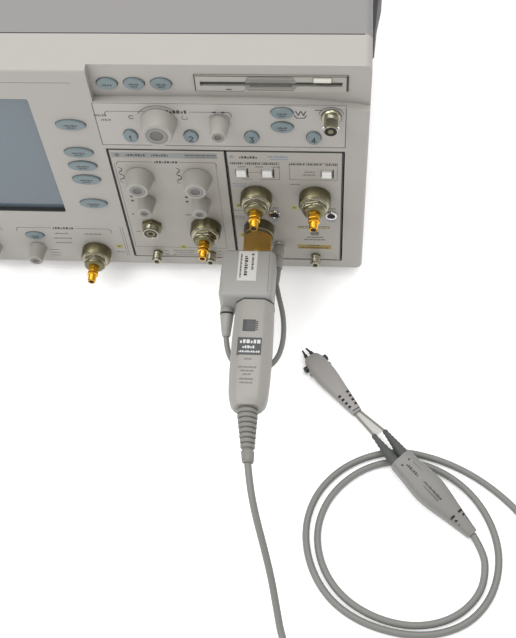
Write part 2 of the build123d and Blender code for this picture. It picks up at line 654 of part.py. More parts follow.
# ---------------------------------------------------------------- covers and rear panel
COVER_END = CASE_DEPTH - PANEL_THICKNESS
FAN_GRILLE_RINGS = [12.0, 22.0, 32.0, 42.0, 52.0]
GRILLE_SLOT = 4.0
INLET = (150.0, 40.0)
INLET_SIZE = (28.0, 48.0)
SIDE_SLOTS = (14, 3, 11.0, 20.0)
SIDE_SLOT_SIZE = (3.0, 14.0)
SIDE_SLOT_CENTRE = (460.0, 108.0)
with BuildPart() as top_cover:
    with BuildSketch(face(BEZEL_DEPTH)):
        with Locations((0, CASE_HEIGHT / 2)):
            RectangleRounded(CASE_WIDTH, CASE_HEIGHT, CORNER_RADIUS)
            RectangleRounded(CASE_WIDTH - 2 * COVER_THICKNESS, CASE_HEIGHT - 2 * COVER_THICKNESS,
                             CORNER_RADIUS - COVER_THICKNESS, mode=Mode.SUBTRACT)
        Rectangle(CASE_WIDTH + 2, 2 * CORNER_RADIUS, mode=Mode.SUBTRACT)
    extrude(amount=BEZEL_DEPTH - COVER_END)
    side = Plane(origin=place(0, *SIDE_SLOT_CENTRE), x_dir=(0, 1, 0), z_dir=(1, 0, 0))
    with BuildSketch(side):
        with GridLocations(SIDE_SLOTS[2], SIDE_SLOTS[3], SIDE_SLOTS[0], SIDE_SLOTS[1]):
            SlotOverall(SIDE_SLOT_SIZE[1], SIDE_SLOT_SIZE[0], rotation=90)
    extrude(amount=CASE_WIDTH, both=True, mode=Mode.SUBTRACT)
    save(top_cover, "top_cover")

with BuildPart() as bottom_cover:
    with BuildSketch(face(BEZEL_DEPTH)):
        with Locations((0, CASE_HEIGHT / 2)):
            RectangleRounded(CASE_WIDTH, CASE_HEIGHT, CORNER_RADIUS)
            RectangleRounded(CASE_WIDTH - 2 * COVER_THICKNESS, CASE_HEIGHT - 2 * COVER_THICKNESS,
                             CORNER_RADIUS - COVER_THICKNESS, mode=Mode.SUBTRACT)
        with Locations((0, CASE_HEIGHT / 2 + CORNER_RADIUS)):
            Rectangle(CASE_WIDTH + 2, CASE_HEIGHT, mode=Mode.SUBTRACT)
    extrude(amount=BEZEL_DEPTH - COVER_END)
    save(bottom_cover, "bottom_cover")

REAR_SCREWS = [(-160, 207), (0, 207), (160, 207), (-160, 7), (-50, 7), (55, 7)]
with BuildPart() as rear_panel:
    with BuildSketch(face(COVER_END)):
        with Locations((0, CASE_HEIGHT / 2)):
            RectangleRounded(CASE_WIDTH, CASE_HEIGHT, CORNER_RADIUS)
        with Locations(FAN_CENTRE):
            for ring in reversed(FAN_GRILLE_RINGS):
                Circle(ring + GRILLE_SLOT / 2, mode=Mode.SUBTRACT)
                Circle(ring - GRILLE_SLOT / 2)
            with PolarLocations(FAN_GRILLE_RINGS[-1] / 2, 4, start_angle=45):
                Rectangle(FAN_GRILLE_RINGS[-1] + GRILLE_SLOT, 5)
            Circle(FAN_GRILLE_RINGS[0])
        with Locations(INLET):
            Rectangle(INLET_SIZE[0] + PORT_FIT, INLET_SIZE[1] + PORT_FIT, mode=Mode.SUBTRACT)
        for x, width, height in REAR_PORTS:
            with Locations((x, SYSTEM_BOARD_Z + BOARD_THICKNESS + height / 2)):
                Rectangle(width + PORT_FIT, height + PORT_FIT, mode=Mode.SUBTRACT)
        with Locations(REAR_SCREWS):
            Circle(SCREW_RADIUS + SCREW_FIT, mode=Mode.SUBTRACT)
    extrude(amount=-PANEL_THICKNESS)
    save(rear_panel, "rear_panel")

# ---------------------------------------------------------------- chassis
CHASSIS_HALF = HALF_WIDTH - COVER_THICKNESS
CHASSIS_LOW = COVER_THICKNESS
CHASSIS_HIGH = CASE_HEIGHT - COVER_THICKNESS
BULKHEAD_DEPTH = 398.0
DRIVE_SHELF = DRIVE_Z - DRIVE_BODY[1] / 2
FRAME_FRONT = 18.0
FLOOR_TOP = CHASSIS_LOW + SHEET_THICKNESS
FLOOR_INSET = 4.0
ANGLE_LEG = 5.0
ROOF_DROP = 4.0
BULKHEAD_DROP = 20.0
BAY_WALL = BAY_LEFT - 5.0
BAY_END = INNER_HALF - 2.0
BAY_SHELF = 1.5
BAY_CLEARANCE = 0.5
RAIL_LEFT = INNER_HALF - 2.5
RAIL_RIGHT = CHASSIS_HALF - 1.0
DRIVE_SHELF_LEFT = DRIVE_X - 52.0
POST_RADIUS = 3.0
with BuildPart() as chassis_frame:
    floor = CHASSIS_HALF - FLOOR_INSET
    block(-floor, floor, BEZEL_DEPTH, COVER_END, CHASSIS_LOW, FLOOR_TOP)
    for side in (-1, 1):
        outer = side * CHASSIS_HALF
        inner = side * (CHASSIS_HALF - SHEET_THICKNESS)
        lap = side * (CHASSIS_HALF - SHEET_THICKNESS - FLOOR_INSET)
        block(min(inner, outer), max(inner, outer), BEZEL_DEPTH, COVER_END, CHASSIS_LOW + 3,
              CHASSIS_HIGH - ROOF_DROP)
        block(min(lap, inner), max(lap, inner), BEZEL_DEPTH, COVER_END, FLOOR_TOP, CHASSIS_LOW + ANGLE_LEG)
    block(BAY_WALL, BAY_WALL + SHEET_THICKNESS, FRAME_FRONT, BULKHEAD_DEPTH, CHASSIS_LOW + FLOOR_INSET,
          BAY_TOP + BAY_CLEARANCE + BAY_SHELF)
    block(BAY_WALL, BAY_END, FRAME_FRONT, BULKHEAD_DEPTH, BAY_TOP + BAY_CLEARANCE,
          BAY_TOP + BAY_CLEARANCE + BAY_SHELF)
    block(BAY_WALL, BAY_END, FRAME_FRONT, BULKHEAD_DEPTH, BAY_BOTTOM - BAY_CLEARANCE - BAY_SHELF,
          BAY_BOTTOM - BAY_CLEARANCE)
    block(BAY_MIDDLE_X - BAY_DIVIDER / 2, BAY_MIDDLE_X + BAY_DIVIDER / 2, FRAME_FRONT, BACKPLANE_DEPTH,
          BAY_BOTTOM - 1, BAY_TOP + 1)
    block(-RAIL_RIGHT, RAIL_RIGHT, BULKHEAD_DEPTH, BULKHEAD_DEPTH + SHEET_THICKNESS,
          CHASSIS_LOW + FLOOR_INSET, CHASSIS_HIGH - BULKHEAD_DROP)
    block(BAY_WALL, BAY_WALL + 2, BEZEL_DEPTH, BULKHEAD_DEPTH, CHASSIS_LOW, CHASSIS_LOW + ANGLE_LEG)
    block(DRIVE_SHELF_LEFT, INNER_HALF - BAY_CLEARANCE, BEZEL_DEPTH, BULKHEAD_DEPTH,
          DRIVE_SHELF - SHEET_THICKNESS, DRIVE_SHELF)
    block(RAIL_LEFT, RAIL_RIGHT, BEZEL_DEPTH, BULKHEAD_DEPTH, BAY_BOTTOM - 2, BAY_BOTTOM + 3)
    block(RAIL_LEFT, RAIL_RIGHT, BEZEL_DEPTH, BULKHEAD_DEPTH, BAY_TOP, BAY_TOP + 2)
    with BuildSketch(face(BULKHEAD_DEPTH)):
        with Locations((-100, 120)):
            with GridLocations(36, 30, 5, 4):
                RectangleRounded(26, 18, 4)
    extrude(amount=-SHEET_THICKNESS, mode=Mode.SUBTRACT)
    for x in (-190, 55):
        for depth in (415, 545):
            with BuildSketch(Plane(origin=place(x, depth, FLOOR_TOP), z_dir=(0, 0, 1))):
                Circle(POST_RADIUS)
            extrude(amount=SYSTEM_BOARD_Z - FLOOR_TOP)
    save(chassis_frame, "chassis_frame")

# ---------------------------------------------------------------- power supply and fan
SUPPLY = (75.0, 203.0, 410.0, 110.0)
with BuildPart() as power_supply:
    block(SUPPLY[0], SUPPLY[1], SUPPLY[2], REAR_INSIDE - 0.5, FLOOR_TOP, SUPPLY[3])
    block(INLET[0] - INLET_SIZE[0] / 2, INLET[0] + INLET_SIZE[0] / 2, REAR_INSIDE - 0.5, CASE_DEPTH + 1.0,
          INLET[1] - INLET_SIZE[1] / 2, INLET[1] + INLET_SIZE[1] / 2)
    block(INLET[0] - 10, INLET[0] + 10, CASE_DEPTH - 14, CASE_DEPTH + 1.0, INLET[1] - 18, INLET[1] + 6,
          mode=Mode.SUBTRACT)
    with Locations(*[place(INLET[0] + 5 * k, CASE_DEPTH - 7, INLET[1] - 6) for k in (-1, 0, 1)]):
        Box(1.6, 14, 5)
    with BuildSketch(Plane(origin=place(0, 0, SUPPLY[3]), z_dir=(0, 0, 1))):
        with Locations((140, 485)):
            with GridLocations(12, 12, 8, 9):
                RegularPolygon(3.5, 6)
    extrude(amount=-1, mode=Mode.SUBTRACT)
    save(power_supply, "power_supply")

FAN_X, FAN_Z = FAN_CENTRE
FAN_FRONT = REAR_INSIDE - FAN_DEPTH
with BuildPart() as fan_frame:
    with BuildSketch(face(FAN_FRONT)):
        with Locations(FAN_CENTRE):
            RectangleRounded(FAN_SIZE, FAN_SIZE, 5)
            Circle(FAN_RADIUS + FAN_TIP_GAP, mode=Mode.SUBTRACT)
            with GridLocations(105, 105, 2, 2):
                Circle(2.2, mode=Mode.SUBTRACT)
    extrude(amount=-FAN_DEPTH)
    rod(FAN_X, FAN_Z, FAN_HUB_RADIUS, REAR_INSIDE - 3.5, REAR_INSIDE)
    with BuildSketch(face(REAR_INSIDE - 3.5)):
        with Locations(FAN_CENTRE):
            with PolarLocations((FAN_HUB_RADIUS + FAN_RADIUS + FAN_TIP_GAP) / 2, 4):
                Rectangle(FAN_RADIUS + FAN_TIP_GAP - FAN_HUB_RADIUS + 2, 6)
    extrude(amount=-3.5)
    rod(FAN_X, FAN_Z, 5.0, REAR_INSIDE - 14, REAR_INSIDE - 3.5)
    rod(FAN_X, FAN_Z, 1.5 + SHAFT_CLEARANCE, REAR_INSIDE - 14, REAR_INSIDE - 3.0, Mode.SUBTRACT)
    save(fan_frame, "fan_frame")

with BuildPart() as fan_rotor:
    rod(FAN_X, FAN_Z, FAN_HUB_RADIUS - 1, FAN_FRONT + 1, REAR_INSIDE - 5)
    rod(FAN_X, FAN_Z, 6.0, REAR_INSIDE - 15, REAR_INSIDE - 5, Mode.SUBTRACT)
    rod(FAN_X, FAN_Z, 1.5, REAR_INSIDE - 15, REAR_INSIDE - 3.5)
    for k in range(FAN_BLADES):
        turn = 360 / FAN_BLADES * k
        spoke = Plane(origin=place(FAN_X, REAR_INSIDE - 15, FAN_Z), x_dir=(0, 1, 0),
                      z_dir=(cos(radians(turn)), 0, sin(radians(turn))))
        with BuildSketch(spoke.offset(FAN_HUB_RADIUS - 3)):
            Rectangle(22, 1.8, rotation=35)
        with BuildSketch(spoke.offset(FAN_RADIUS)):
            Rectangle(19, 1.8, rotation=52)
        loft()
    save(fan_rotor, "fan_rotor")

# ---------------------------------------------------------------- feet, tilt bail, handles, screws
FOOT_BORE_DEPTH = 12.0
with BuildPart() as feet:
    with BuildSketch(Plane.XY):
        with Locations(*[(x, FRONT_Y + depth) for x in (-FOOT_X, FOOT_X)
                         for depth in (FRONT_FOOT_DEPTH, BACK_FOOT_DEPTH)]):
            RectangleRounded(*FOOT_SIZE, 5)
    extrude(amount=FOOT_HEIGHT)
    chamfer(feet.faces().group_by(Axis.Z)[0].edges(), 1.2)
    for side in (-1, 1):
        start = Plane(origin=(side * (FOOT_X - FOOT_SIZE[0] / 2), FRONT_Y + FRONT_FOOT_DEPTH, BAIL_HEIGHT),
                      z_dir=(side, 0, 0))
        with BuildSketch(start):
            Circle(BAIL_RADIUS + BAIL_CLEARANCE)
        extrude(amount=FOOT_BORE_DEPTH, mode=Mode.SUBTRACT)
    with BuildSketch(face(CASE_DEPTH)):
        with Locations((-188, 26), (188, 26), (-188, CASE_HEIGHT - 24), (188, CASE_HEIGHT - 24)):
            RectangleRounded(30, 30, 5)
    extrude(amount=-REAR_FOOT_LENGTH, taper=4)
    save(feet, "feet")

BAIL_END = FOOT_X - FOOT_SIZE[0] / 2 + FOOT_BORE_DEPTH - 1
BAIL_LEG = FOOT_X - FOOT_SIZE[0] / 2 - 6
with BuildPart() as tilt_bail:
    with BuildLine() as bail_line:
        pivot_y = FRONT_Y + FRONT_FOOT_DEPTH
        FilletPolyline(
            (-BAIL_END, pivot_y, BAIL_HEIGHT),
            (-BAIL_LEG, pivot_y, BAIL_HEIGHT),
            (-BAIL_LEG + 12, pivot_y + BAIL_LENGTH, BAIL_HEIGHT),
            (BAIL_LEG - 12, pivot_y + BAIL_LENGTH, BAIL_HEIGHT),
            (BAIL_LEG, pivot_y, BAIL_HEIGHT),
            (BAIL_END, pivot_y, BAIL_HEIGHT),
            radius=[4.0, BAIL_BEND, BAIL_BEND, 4.0],
        )
    with BuildSketch(Plane(origin=bail_line.line @ 0, z_dir=bail_line.line % 0)):
        Circle(BAIL_RADIUS)
    sweep()
    save(tilt_bail, "tilt_bail")

HANDLE_BACK = HANDLE_FRONT + HANDLE_LENGTH
with BuildPart() as strap_handles:
    top = Plane(origin=place(0, 0, HANDLE_Z - HANDLE_WIDTH / 2), z_dir=(0, 0, 1))
    with BuildSketch(top):
        with BuildLine():
            out = HALF_WIDTH + HANDLE_REACH
            low = HALF_WIDTH + 2.5
            FilletPolyline(
                (HALF_WIDTH, HANDLE_FRONT),
                (low + 2, HANDLE_FRONT),
                (low + 4, HANDLE_FRONT + HANDLE_END),
                (out, HANDLE_FRONT + HANDLE_END + HANDLE_RAMP),
                (out, HANDLE_BACK - HANDLE_END - HANDLE_RAMP),
                (low + 4, HANDLE_BACK - HANDLE_END),
                (low + 2, HANDLE_BACK),
                (HALF_WIDTH, HANDLE_BACK),
                radius=[3.0, 14.0, 20.0, 20.0, 14.0, 3.0],
            )
            inner = out - HANDLE_THICKNESS
            FilletPolyline(
                (HALF_WIDTH, HANDLE_BACK),
                (HALF_WIDTH, HANDLE_BACK - HANDLE_END),
                (inner, HANDLE_BACK - HANDLE_END - HANDLE_RAMP - 4),
                (inner, HANDLE_FRONT + HANDLE_END + HANDLE_RAMP + 4),
                (HALF_WIDTH, HANDLE_FRONT + HANDLE_END),
                (HALF_WIDTH, HANDLE_FRONT),
                radius=[2.0, 14.0, 14.0, 2.0],
            )
        make_face()
    extrude(amount=HANDLE_WIDTH)
    fillet(strap_handles.edges().filter_by(Axis.Z, reverse=True).group_by(Axis.X)[-1], 1.0)
    for depth in (HANDLE_FRONT + HANDLE_END / 2, HANDLE_BACK - HANDLE_END / 2):
        with BuildSketch(Plane(origin=place(HALF_WIDTH, depth, HANDLE_Z), z_dir=(1, 0, 0))):
            Circle(SCREW_RADIUS + SCREW_FIT)
        extrude(amount=20, mode=Mode.SUBTRACT)
        with BuildSketch(Plane(origin=place(HALF_WIDTH + 2.5, depth, HANDLE_Z), z_dir=(1, 0, 0))):
            Circle(SCREW_HEAD[0] + SCREW_FIT)
        extrude(amount=20, mode=Mode.SUBTRACT)
    mirror(about=Plane.YZ)
    save(strap_handles, "strap_handles")

with BuildPart() as case_screws:
    for x, z in REAR_SCREWS:
        rod(x, z, SCREW_RADIUS, COVER_END - SCREW_LENGTH, CASE_DEPTH)
        rod(x, z, SCREW_HEAD[0], CASE_DEPTH, CASE_DEPTH + SCREW_HEAD[1])
    for side in (-1, 1):
        for depth in (HANDLE_FRONT + HANDLE_END / 2, HANDLE_BACK - HANDLE_END / 2):
            wall = Plane(origin=place(side * HALF_WIDTH, depth, HANDLE_Z), z_dir=(side, 0, 0))
            with BuildSketch(wall):
                Circle(SCREW_RADIUS)
            extrude(amount=HANDLE_SCREW_LENGTH)
            with BuildSketch(wall.offset(HANDLE_SCREW_LENGTH)):
                Circle(SCREW_HEAD[0])
            extrude(amount=SCREW_HEAD[1])
    save(case_screws, "case_screws")


# ---------------------------------------------------------------- probe adapter, pod and lead
def frame_along(start, end, share=0.0):
    """A plane across the line from start to end, its x level and its y as upright as it can be."""
    ahead = (end - start).normalized()
    return Plane(origin=start + (end - start) * share, x_dir=ahead.cross(Vector(0, 0, 1)), z_dir=ahead)


def lofted_body(start, end, sections):
    """A soft-cornered body lofted through (share, width, height) sections, added to the open part."""
    outlines = []
    for share, width, height in sections:
        with BuildSketch(frame_along(start, end, share)) as outline:
            RectangleRounded(width, height, min(width, height) * 0.36)
        outlines.append(outline.sketch)
    loft(outlines, ruled=True)


def cone(start, end, radii):
    """A round tapered length from start to end, added to the open part."""
    outlines = []
    for share, radius in zip((0, 1), radii):
        with BuildSketch(frame_along(start, end, share)) as outline:
            Circle(radius)
        outlines.append(outline.sketch)
    loft(outlines)


ADAPTER_BACK, ADAPTER_FRONT = (-reach for reach in ADAPTER_REACH)
with BuildPart() as adapter_housing:
    with BuildSketch(face(ADAPTER_BACK)):
        with Locations(((ADAPTER_LEFT + ADAPTER_RIGHT) / 2, (ADAPTER_BOTTOM + ADAPTER_TOP) / 2)):
            RectangleRounded(ADAPTER_RIGHT - ADAPTER_LEFT, ADAPTER_TOP - ADAPTER_BOTTOM, 3.5)
    extrude(amount=ADAPTER_BACK - ADAPTER_FRONT)
    fillet(adapter_housing.faces().sort_by(Axis.Y)[-1].edges(), 1.5)
    fillet(adapter_housing.faces().sort_by(Axis.Y)[0].edges(), 2.5)
    cone(place(*BOOT_START) + Vector(0, 1, 0), place(*BOOT_TIP), BOOT_RADII)
    save(adapter_housing, "adapter_housing")

POD_START = place(POD_X, ADAPTER_FRONT, POD_Z)
POD_LENGTH = POD_SECTIONS[-1][0]
POD_END = place(POD_X, ADAPTER_FRONT - POD_LENGTH, POD_Z)
LATCH_FLOOR = POD_Z + POD_SECTIONS[1][2] / 2 - 2.5
with BuildPart() as pod_housing:
    lofted_body(POD_START, POD_END, [(reach / POD_LENGTH, w, h) for reach, w, h in POD_SECTIONS])
    relief_start = POD_END - Vector(0, 0, 0.5)
    cone(relief_start, place(*RELIEF_TIP), RELIEF_RADII)
    with Locations(place(POD_X, ADAPTER_FRONT - LATCH_REACH, LATCH_FLOOR + 10)):
        Box(LATCH_SIZE[0] + 2 * KEY_GAP, LATCH_SIZE[1] + 2 * KEY_GAP + LATCH_TRAVEL, 20, mode=Mode.SUBTRACT)
    save(pod_housing, "pod_housing")

with BuildPart() as pod_latch:
    latch_top = POD_Z + POD_SECTIONS[1][2] / 2 + 0.6
    with Locations(place(POD_X, ADAPTER_FRONT - LATCH_REACH - LATCH_TRAVEL / 2,
                         (latch_top + LATCH_FLOOR + KEY_GAP) / 2)):
        Box(LATCH_SIZE[0], LATCH_SIZE[1], latch_top - LATCH_FLOOR - KEY_GAP)
    with Locations(*[place(POD_X, ADAPTER_FRONT - LATCH_REACH - LATCH_TRAVEL / 2 + step, latch_top)
                     for step in (-2.6, -0.9, 0.9, 2.6)]):
        Box(LATCH_SIZE[0], 0.7, 0.8, mode=Mode.SUBTRACT)
    save(pod_latch, "pod_latch")

with BuildPart() as adapter_plug:
    front = -JACK_PROUD
    for radius, length in PLUG_STEPS:
        rod(*PROBE_JACK, radius, front - length, front)
        front -= length
    rod(*PROBE_JACK, JACK_BORE_RADIUS - 0.1, -JACK_PROUD, JACK_TAIL - 2)
    save(adapter_plug, "adapter_plug")
PLUG_END = front


# Routes: (x, y from the face, z from the underside of the case), a cable's middle line
LEAD_ROUTE = [
    BOOT_TIP,
    (114.6, -102.0, 38.0),
    (119.5, -110.5, 34.5),
    (128.5, -115.5, 32.0),
    (140.5, -114.5, 31.0),
    (150.0, -107.0, 31.2),
    (154.2, -95.0, 31.0),
    (155.2, -80.0, 31.3),
    (153.4, -64.0, 31.0),
    (149.5, -50.0, 31.2),
    (PROBE_JACK[0], PLUG_END, PROBE_JACK[1]),
]
BENCH = -FOOT_HEIGHT + CABLE_DIAMETER / 2 + 0.1
CABLE_ROUTE = [
    RELIEF_TIP,
    (139.2, -209.0, 44.8),
    (143.8, -227.0, 37.2),
    (150.3, -245.5, 25.0),
    (155.5, -261.5, 12.5),
    (159.5, -278.0, 2.0),
    (163.5, -295.0, -6.5),
    (171.0, -311.0, BENCH),
    (189.0, -322.0, BENCH),
    (218.0, -325.5, BENCH),
    (250.0, -324.0, BENCH),
    (282.0, -319.5, BENCH),
    (312.0, -309.0, BENCH),
    (335.0, -288.0, BENCH),
    (345.0, -260.0, BENCH),
    (344.0, -232.0, BENCH),
    (333.0, -208.0, BENCH),
    (315.0, -187.5, BENCH),
    (293.0, -171.0, BENCH),
    (268.0, -160.0, BENCH),
    (243.0, -155.5, BENCH),
    (219.0, -160.5, BENCH),
    (198.0, -173.0, BENCH),
    (182.5, -192.0, BENCH),
    (175.5, -216.0, BENCH),
    (179.0, -242.0, BENCH),
    (191.5, -265.0, BENCH),
    (211.0, -280.0, BENCH),
    (236.0, -288.0, BENCH),
    (262.0, -289.0, BENCH),
    (287.0, -280.0, BENCH),
    (304.0, -261.0, BENCH),
    (311.0, -236.0, BENCH),
    (307.5, -211.0, BENCH),
    (295.0, -188.0, BENCH),
    (275.0, -171.0, BENCH),
    (251.0, -163.0, BENCH),
    (226.0, -166.0, BENCH),
    (205.0, -178.5, BENCH),
    (189.5, -198.0, BENCH),
    (183.5, -222.0, BENCH),
    (189.0, -247.0, BENCH),
    (204.0, -267.0, BENCH),
    (227.0, -279.5, BENCH),
    (253.0, -283.5, BENCH),
    (278.5, -276.5, BENCH),
    (296.5, -259.0, BENCH),
    (301.0, -239.0, -9.0),
    (297.5, -226.5, -7.9),
    AMPLIFIER_TIP,
]


def make_tube(label, route, diameter):
    """A cable's tube: straight runs joined by arcs as large as the two runs at each corner allow."""
    points = [place(*point) for point in route]
    runs = [(b - a).length for a, b in zip(points, points[1:])]
    radii = []
    for before, here, after, run_in, run_out in zip(points, points[1:], points[2:], runs, runs[1:]):
        half_turn = radians((here - before).get_angle(after - here)) / 2
        radii.append(0.45 * min(run_in, run_out) / tan(half_turn))
    with BuildPart() as tube:
        with BuildLine() as line:
            FilletPolyline(*points, radius=radii)
        with BuildSketch(Plane(origin=line.line @ 0, z_dir=line.line % 0)):
            Circle(diameter / 2)
        sweep()
    length = line.wire().length
    print(label, "length", round(length, 1), "radii", [round(radius, 1) for radius in radii])
    swept = pi * diameter**2 / 4 * length
    print(label, "volume over section times length", round(tube.part.volume / swept, 4))
    save(tube, label)


make_tube("probe_cable", CABLE_ROUTE, CABLE_DIAMETER)
make_tube("adapter_cable", LEAD_ROUTE, LEAD_DIAMETER)

# ---------------------------------------------------------------- probe amplifier, leads and head
AMP_START = place(*AMPLIFIER_START)
AMP_TIP = place(*AMPLIFIER_TIP)
with BuildPart() as probe_amplifier:
    lofted_body(AMP_START, AMP_TIP, AMPLIFIER_SECTIONS)
    save(probe_amplifier, "probe_amplifier")

HEAD_BACK = place(*HEAD_START)
HEAD_NOSE = place(*HEAD_TIP)
head_plane = frame_along(HEAD_BACK, HEAD_NOSE)
amp_plane = frame_along(AMP_START, AMP_TIP)
with BuildPart() as probe_leads:
    for tip, side in zip(LEAD_TIPS, (1, -1)):
        boot_root = AMP_START + amp_plane.x_dir * side * BOOT_SPREAD
        boot_tip = place(*tip)
        with BuildSketch(Plane(origin=boot_root, x_dir=amp_plane.x_dir, z_dir=-amp_plane.z_dir)) as root:
            Circle(LEAD_BOOT_RADII[0])
        with BuildSketch(frame_along(boot_root, boot_tip, 1.0)) as tip_outline:
            Circle(LEAD_BOOT_RADII[1])
        loft([root.sketch, tip_outline.sketch])
        lead_end = HEAD_BACK - head_plane.x_dir * side * LEAD_SPREAD
        with BuildSketch(frame_along(boot_tip, lead_end)) as near:
            Circle(LEAD_RADIUS)
        with BuildSketch(Plane(origin=lead_end, x_dir=head_plane.x_dir, z_dir=head_plane.z_dir)) as far:
            Circle(LEAD_RADIUS)
        loft([near.sketch, far.sketch])
    save(probe_leads, "probe_leads")

with BuildPart() as probe_head:
    lofted_body(HEAD_BACK, HEAD_NOSE, HEAD_SECTIONS)
    for side in (-1, 1):
        wheel = HEAD_BACK + (HEAD_NOSE - HEAD_BACK) * WHEEL_PLACE + head_plane.x_dir * side * WHEEL_ROOT
        with BuildSketch(Plane(origin=wheel, x_dir=head_plane.z_dir, z_dir=head_plane.x_dir * side)):
            Circle(WHEEL[0])
        extrude(amount=WHEEL[1])
        bump = HEAD_BACK + (HEAD_NOSE - HEAD_BACK) * BUMP_PLACE + head_plane.x_dir * side * WHEEL_ROOT
        with BuildSketch(Plane(origin=bump, x_dir=head_plane.z_dir, z_dir=head_plane.x_dir * side)):
            Circle(BUMP[0])
        extrude(amount=BUMP[1])
        pin_root = HEAD_NOSE + head_plane.x_dir * side * PIN_SPREAD[0]
        pin_tip = HEAD_NOSE + head_plane.z_dir * PIN_LENGTH + head_plane.x_dir * side * PIN_SPREAD[1]
        cone(pin_root - head_plane.z_dir, pin_tip, PIN_RADII)
    save(probe_head, "probe_head")
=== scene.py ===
from math import cos, pi, radians, sin

import bmesh
import bpy
from mathutils import Matrix, Vector


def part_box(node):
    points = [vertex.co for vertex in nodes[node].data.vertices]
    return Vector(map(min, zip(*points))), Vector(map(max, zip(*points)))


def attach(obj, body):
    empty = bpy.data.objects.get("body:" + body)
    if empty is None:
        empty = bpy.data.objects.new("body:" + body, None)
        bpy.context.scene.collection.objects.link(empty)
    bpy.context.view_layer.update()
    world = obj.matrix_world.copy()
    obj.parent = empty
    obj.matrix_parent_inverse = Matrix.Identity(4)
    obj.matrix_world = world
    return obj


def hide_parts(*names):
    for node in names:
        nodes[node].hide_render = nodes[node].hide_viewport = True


# A bench oscilloscope with two plug-in modules and an active probe.
# Sizes are in millimetres until place() turns them into the frame's metres.

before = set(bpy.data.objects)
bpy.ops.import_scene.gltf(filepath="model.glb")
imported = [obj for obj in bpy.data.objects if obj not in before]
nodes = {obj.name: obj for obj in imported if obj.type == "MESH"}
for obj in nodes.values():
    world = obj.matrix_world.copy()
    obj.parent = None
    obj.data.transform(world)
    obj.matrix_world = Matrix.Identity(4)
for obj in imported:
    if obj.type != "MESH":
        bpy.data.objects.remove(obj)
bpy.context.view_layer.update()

MM = 0.001
BEZEL_LOW, BEZEL_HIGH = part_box("front_bezel")
FRONT_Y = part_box("left_module")[0].y
CASE_Z = BEZEL_LOW.z
CASE_WIDTH = (BEZEL_HIGH.x - BEZEL_LOW.x) / MM
CASE_HEIGHT = (BEZEL_HIGH.z - CASE_Z) / MM
FOOT_HEIGHT = CASE_Z / MM


def place(x, y, z):
    """A point given in mm: x from the middle, y back from the front face, z up from the case's underside."""
    return Vector((x * MM, FRONT_Y + y * MM, CASE_Z + z * MM))


def centre(node):
    """The middle of a CAD node on the front, as (x, z) in mm."""
    low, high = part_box(node)
    return (low.x + high.x) / 2 / MM, ((low.z + high.z) / 2 - CASE_Z) / MM


# ---------------- materials
def linear(red, green, blue):
    """A colour given as 0 to 255 display values, as the shader needs it."""
    def one(value):
        value /= 255
        return value / 12.92 if value <= 0.04045 else ((value + 0.055) / 1.055) ** 2.4
    return (one(red), one(green), one(blue), 1.0)


def add_node(tree, kind, **inputs):
    """A new shader node with the named inputs set."""
    node = tree.nodes.new(kind)
    for name, value in inputs.items():
        node.inputs[name].default_value = value
    return node


GLOSS_SPREAD = 0.08


def finish(name, colour, roughness, metallic=0.0, grain=0.4, bump=0.15, mottle=0.05, coat=0.0):
    """A finish with a fine grain in its surface, slow changes of tone and an uneven gloss."""
    made = bpy.data.materials.new(name)
    made.use_nodes = True
    tree = made.node_tree
    shader = tree.nodes["Principled BSDF"]
    shader.inputs["Metallic"].default_value = metallic
    shader.inputs["Coat Weight"].default_value = coat
    where = add_node(tree, "ShaderNodeTexCoord")
    slow = add_node(tree, "ShaderNodeTexNoise", Scale=22.0, Detail=3.0, Roughness=0.55)
    tree.links.new(where.outputs["Object"], slow.inputs["Vector"])
    tone = add_node(tree, "ShaderNodeMixRGB")
    tone.inputs["Color1"].default_value = tuple(c * (1 - mottle) for c in linear(*colour)[:3]) + (1,)
    tone.inputs["Color2"].default_value = tuple(min(1, c * (1 + mottle)) for c in linear(*colour)[:3]) + (1,)
    tree.links.new(slow.outputs["Fac"], tone.inputs["Fac"])
    tree.links.new(tone.outputs["Color"], shader.inputs["Base Color"])
    fine = add_node(tree, "ShaderNodeTexNoise", Scale=1 / (grain * MM), Detail=4.0, Roughness=0.6)
    tree.links.new(where.outputs["Object"], fine.inputs["Vector"])
    gloss = add_node(tree, "ShaderNodeMapRange")
    gloss.inputs["To Min"].default_value = max(0.03, roughness - GLOSS_SPREAD)
    gloss.inputs["To Max"].default_value = min(1.0, roughness + GLOSS_SPREAD)
    tree.links.new(slow.outputs["Fac"], gloss.inputs["Value"])
    tree.links.new(gloss.outputs["Result"], shader.inputs["Roughness"])
    relief = add_node(tree, "ShaderNodeBump", Strength=bump, Distance=grain * MM * 0.5)
    tree.links.new(fine.outputs["Fac"], relief.inputs["Height"])
    tree.links.new(relief.outputs["Normal"], shader.inputs["Normal"])
    return made


def ink_finish(name, colour):
    return finish(name, colour, 0.5, grain=0.2, bump=0.05)


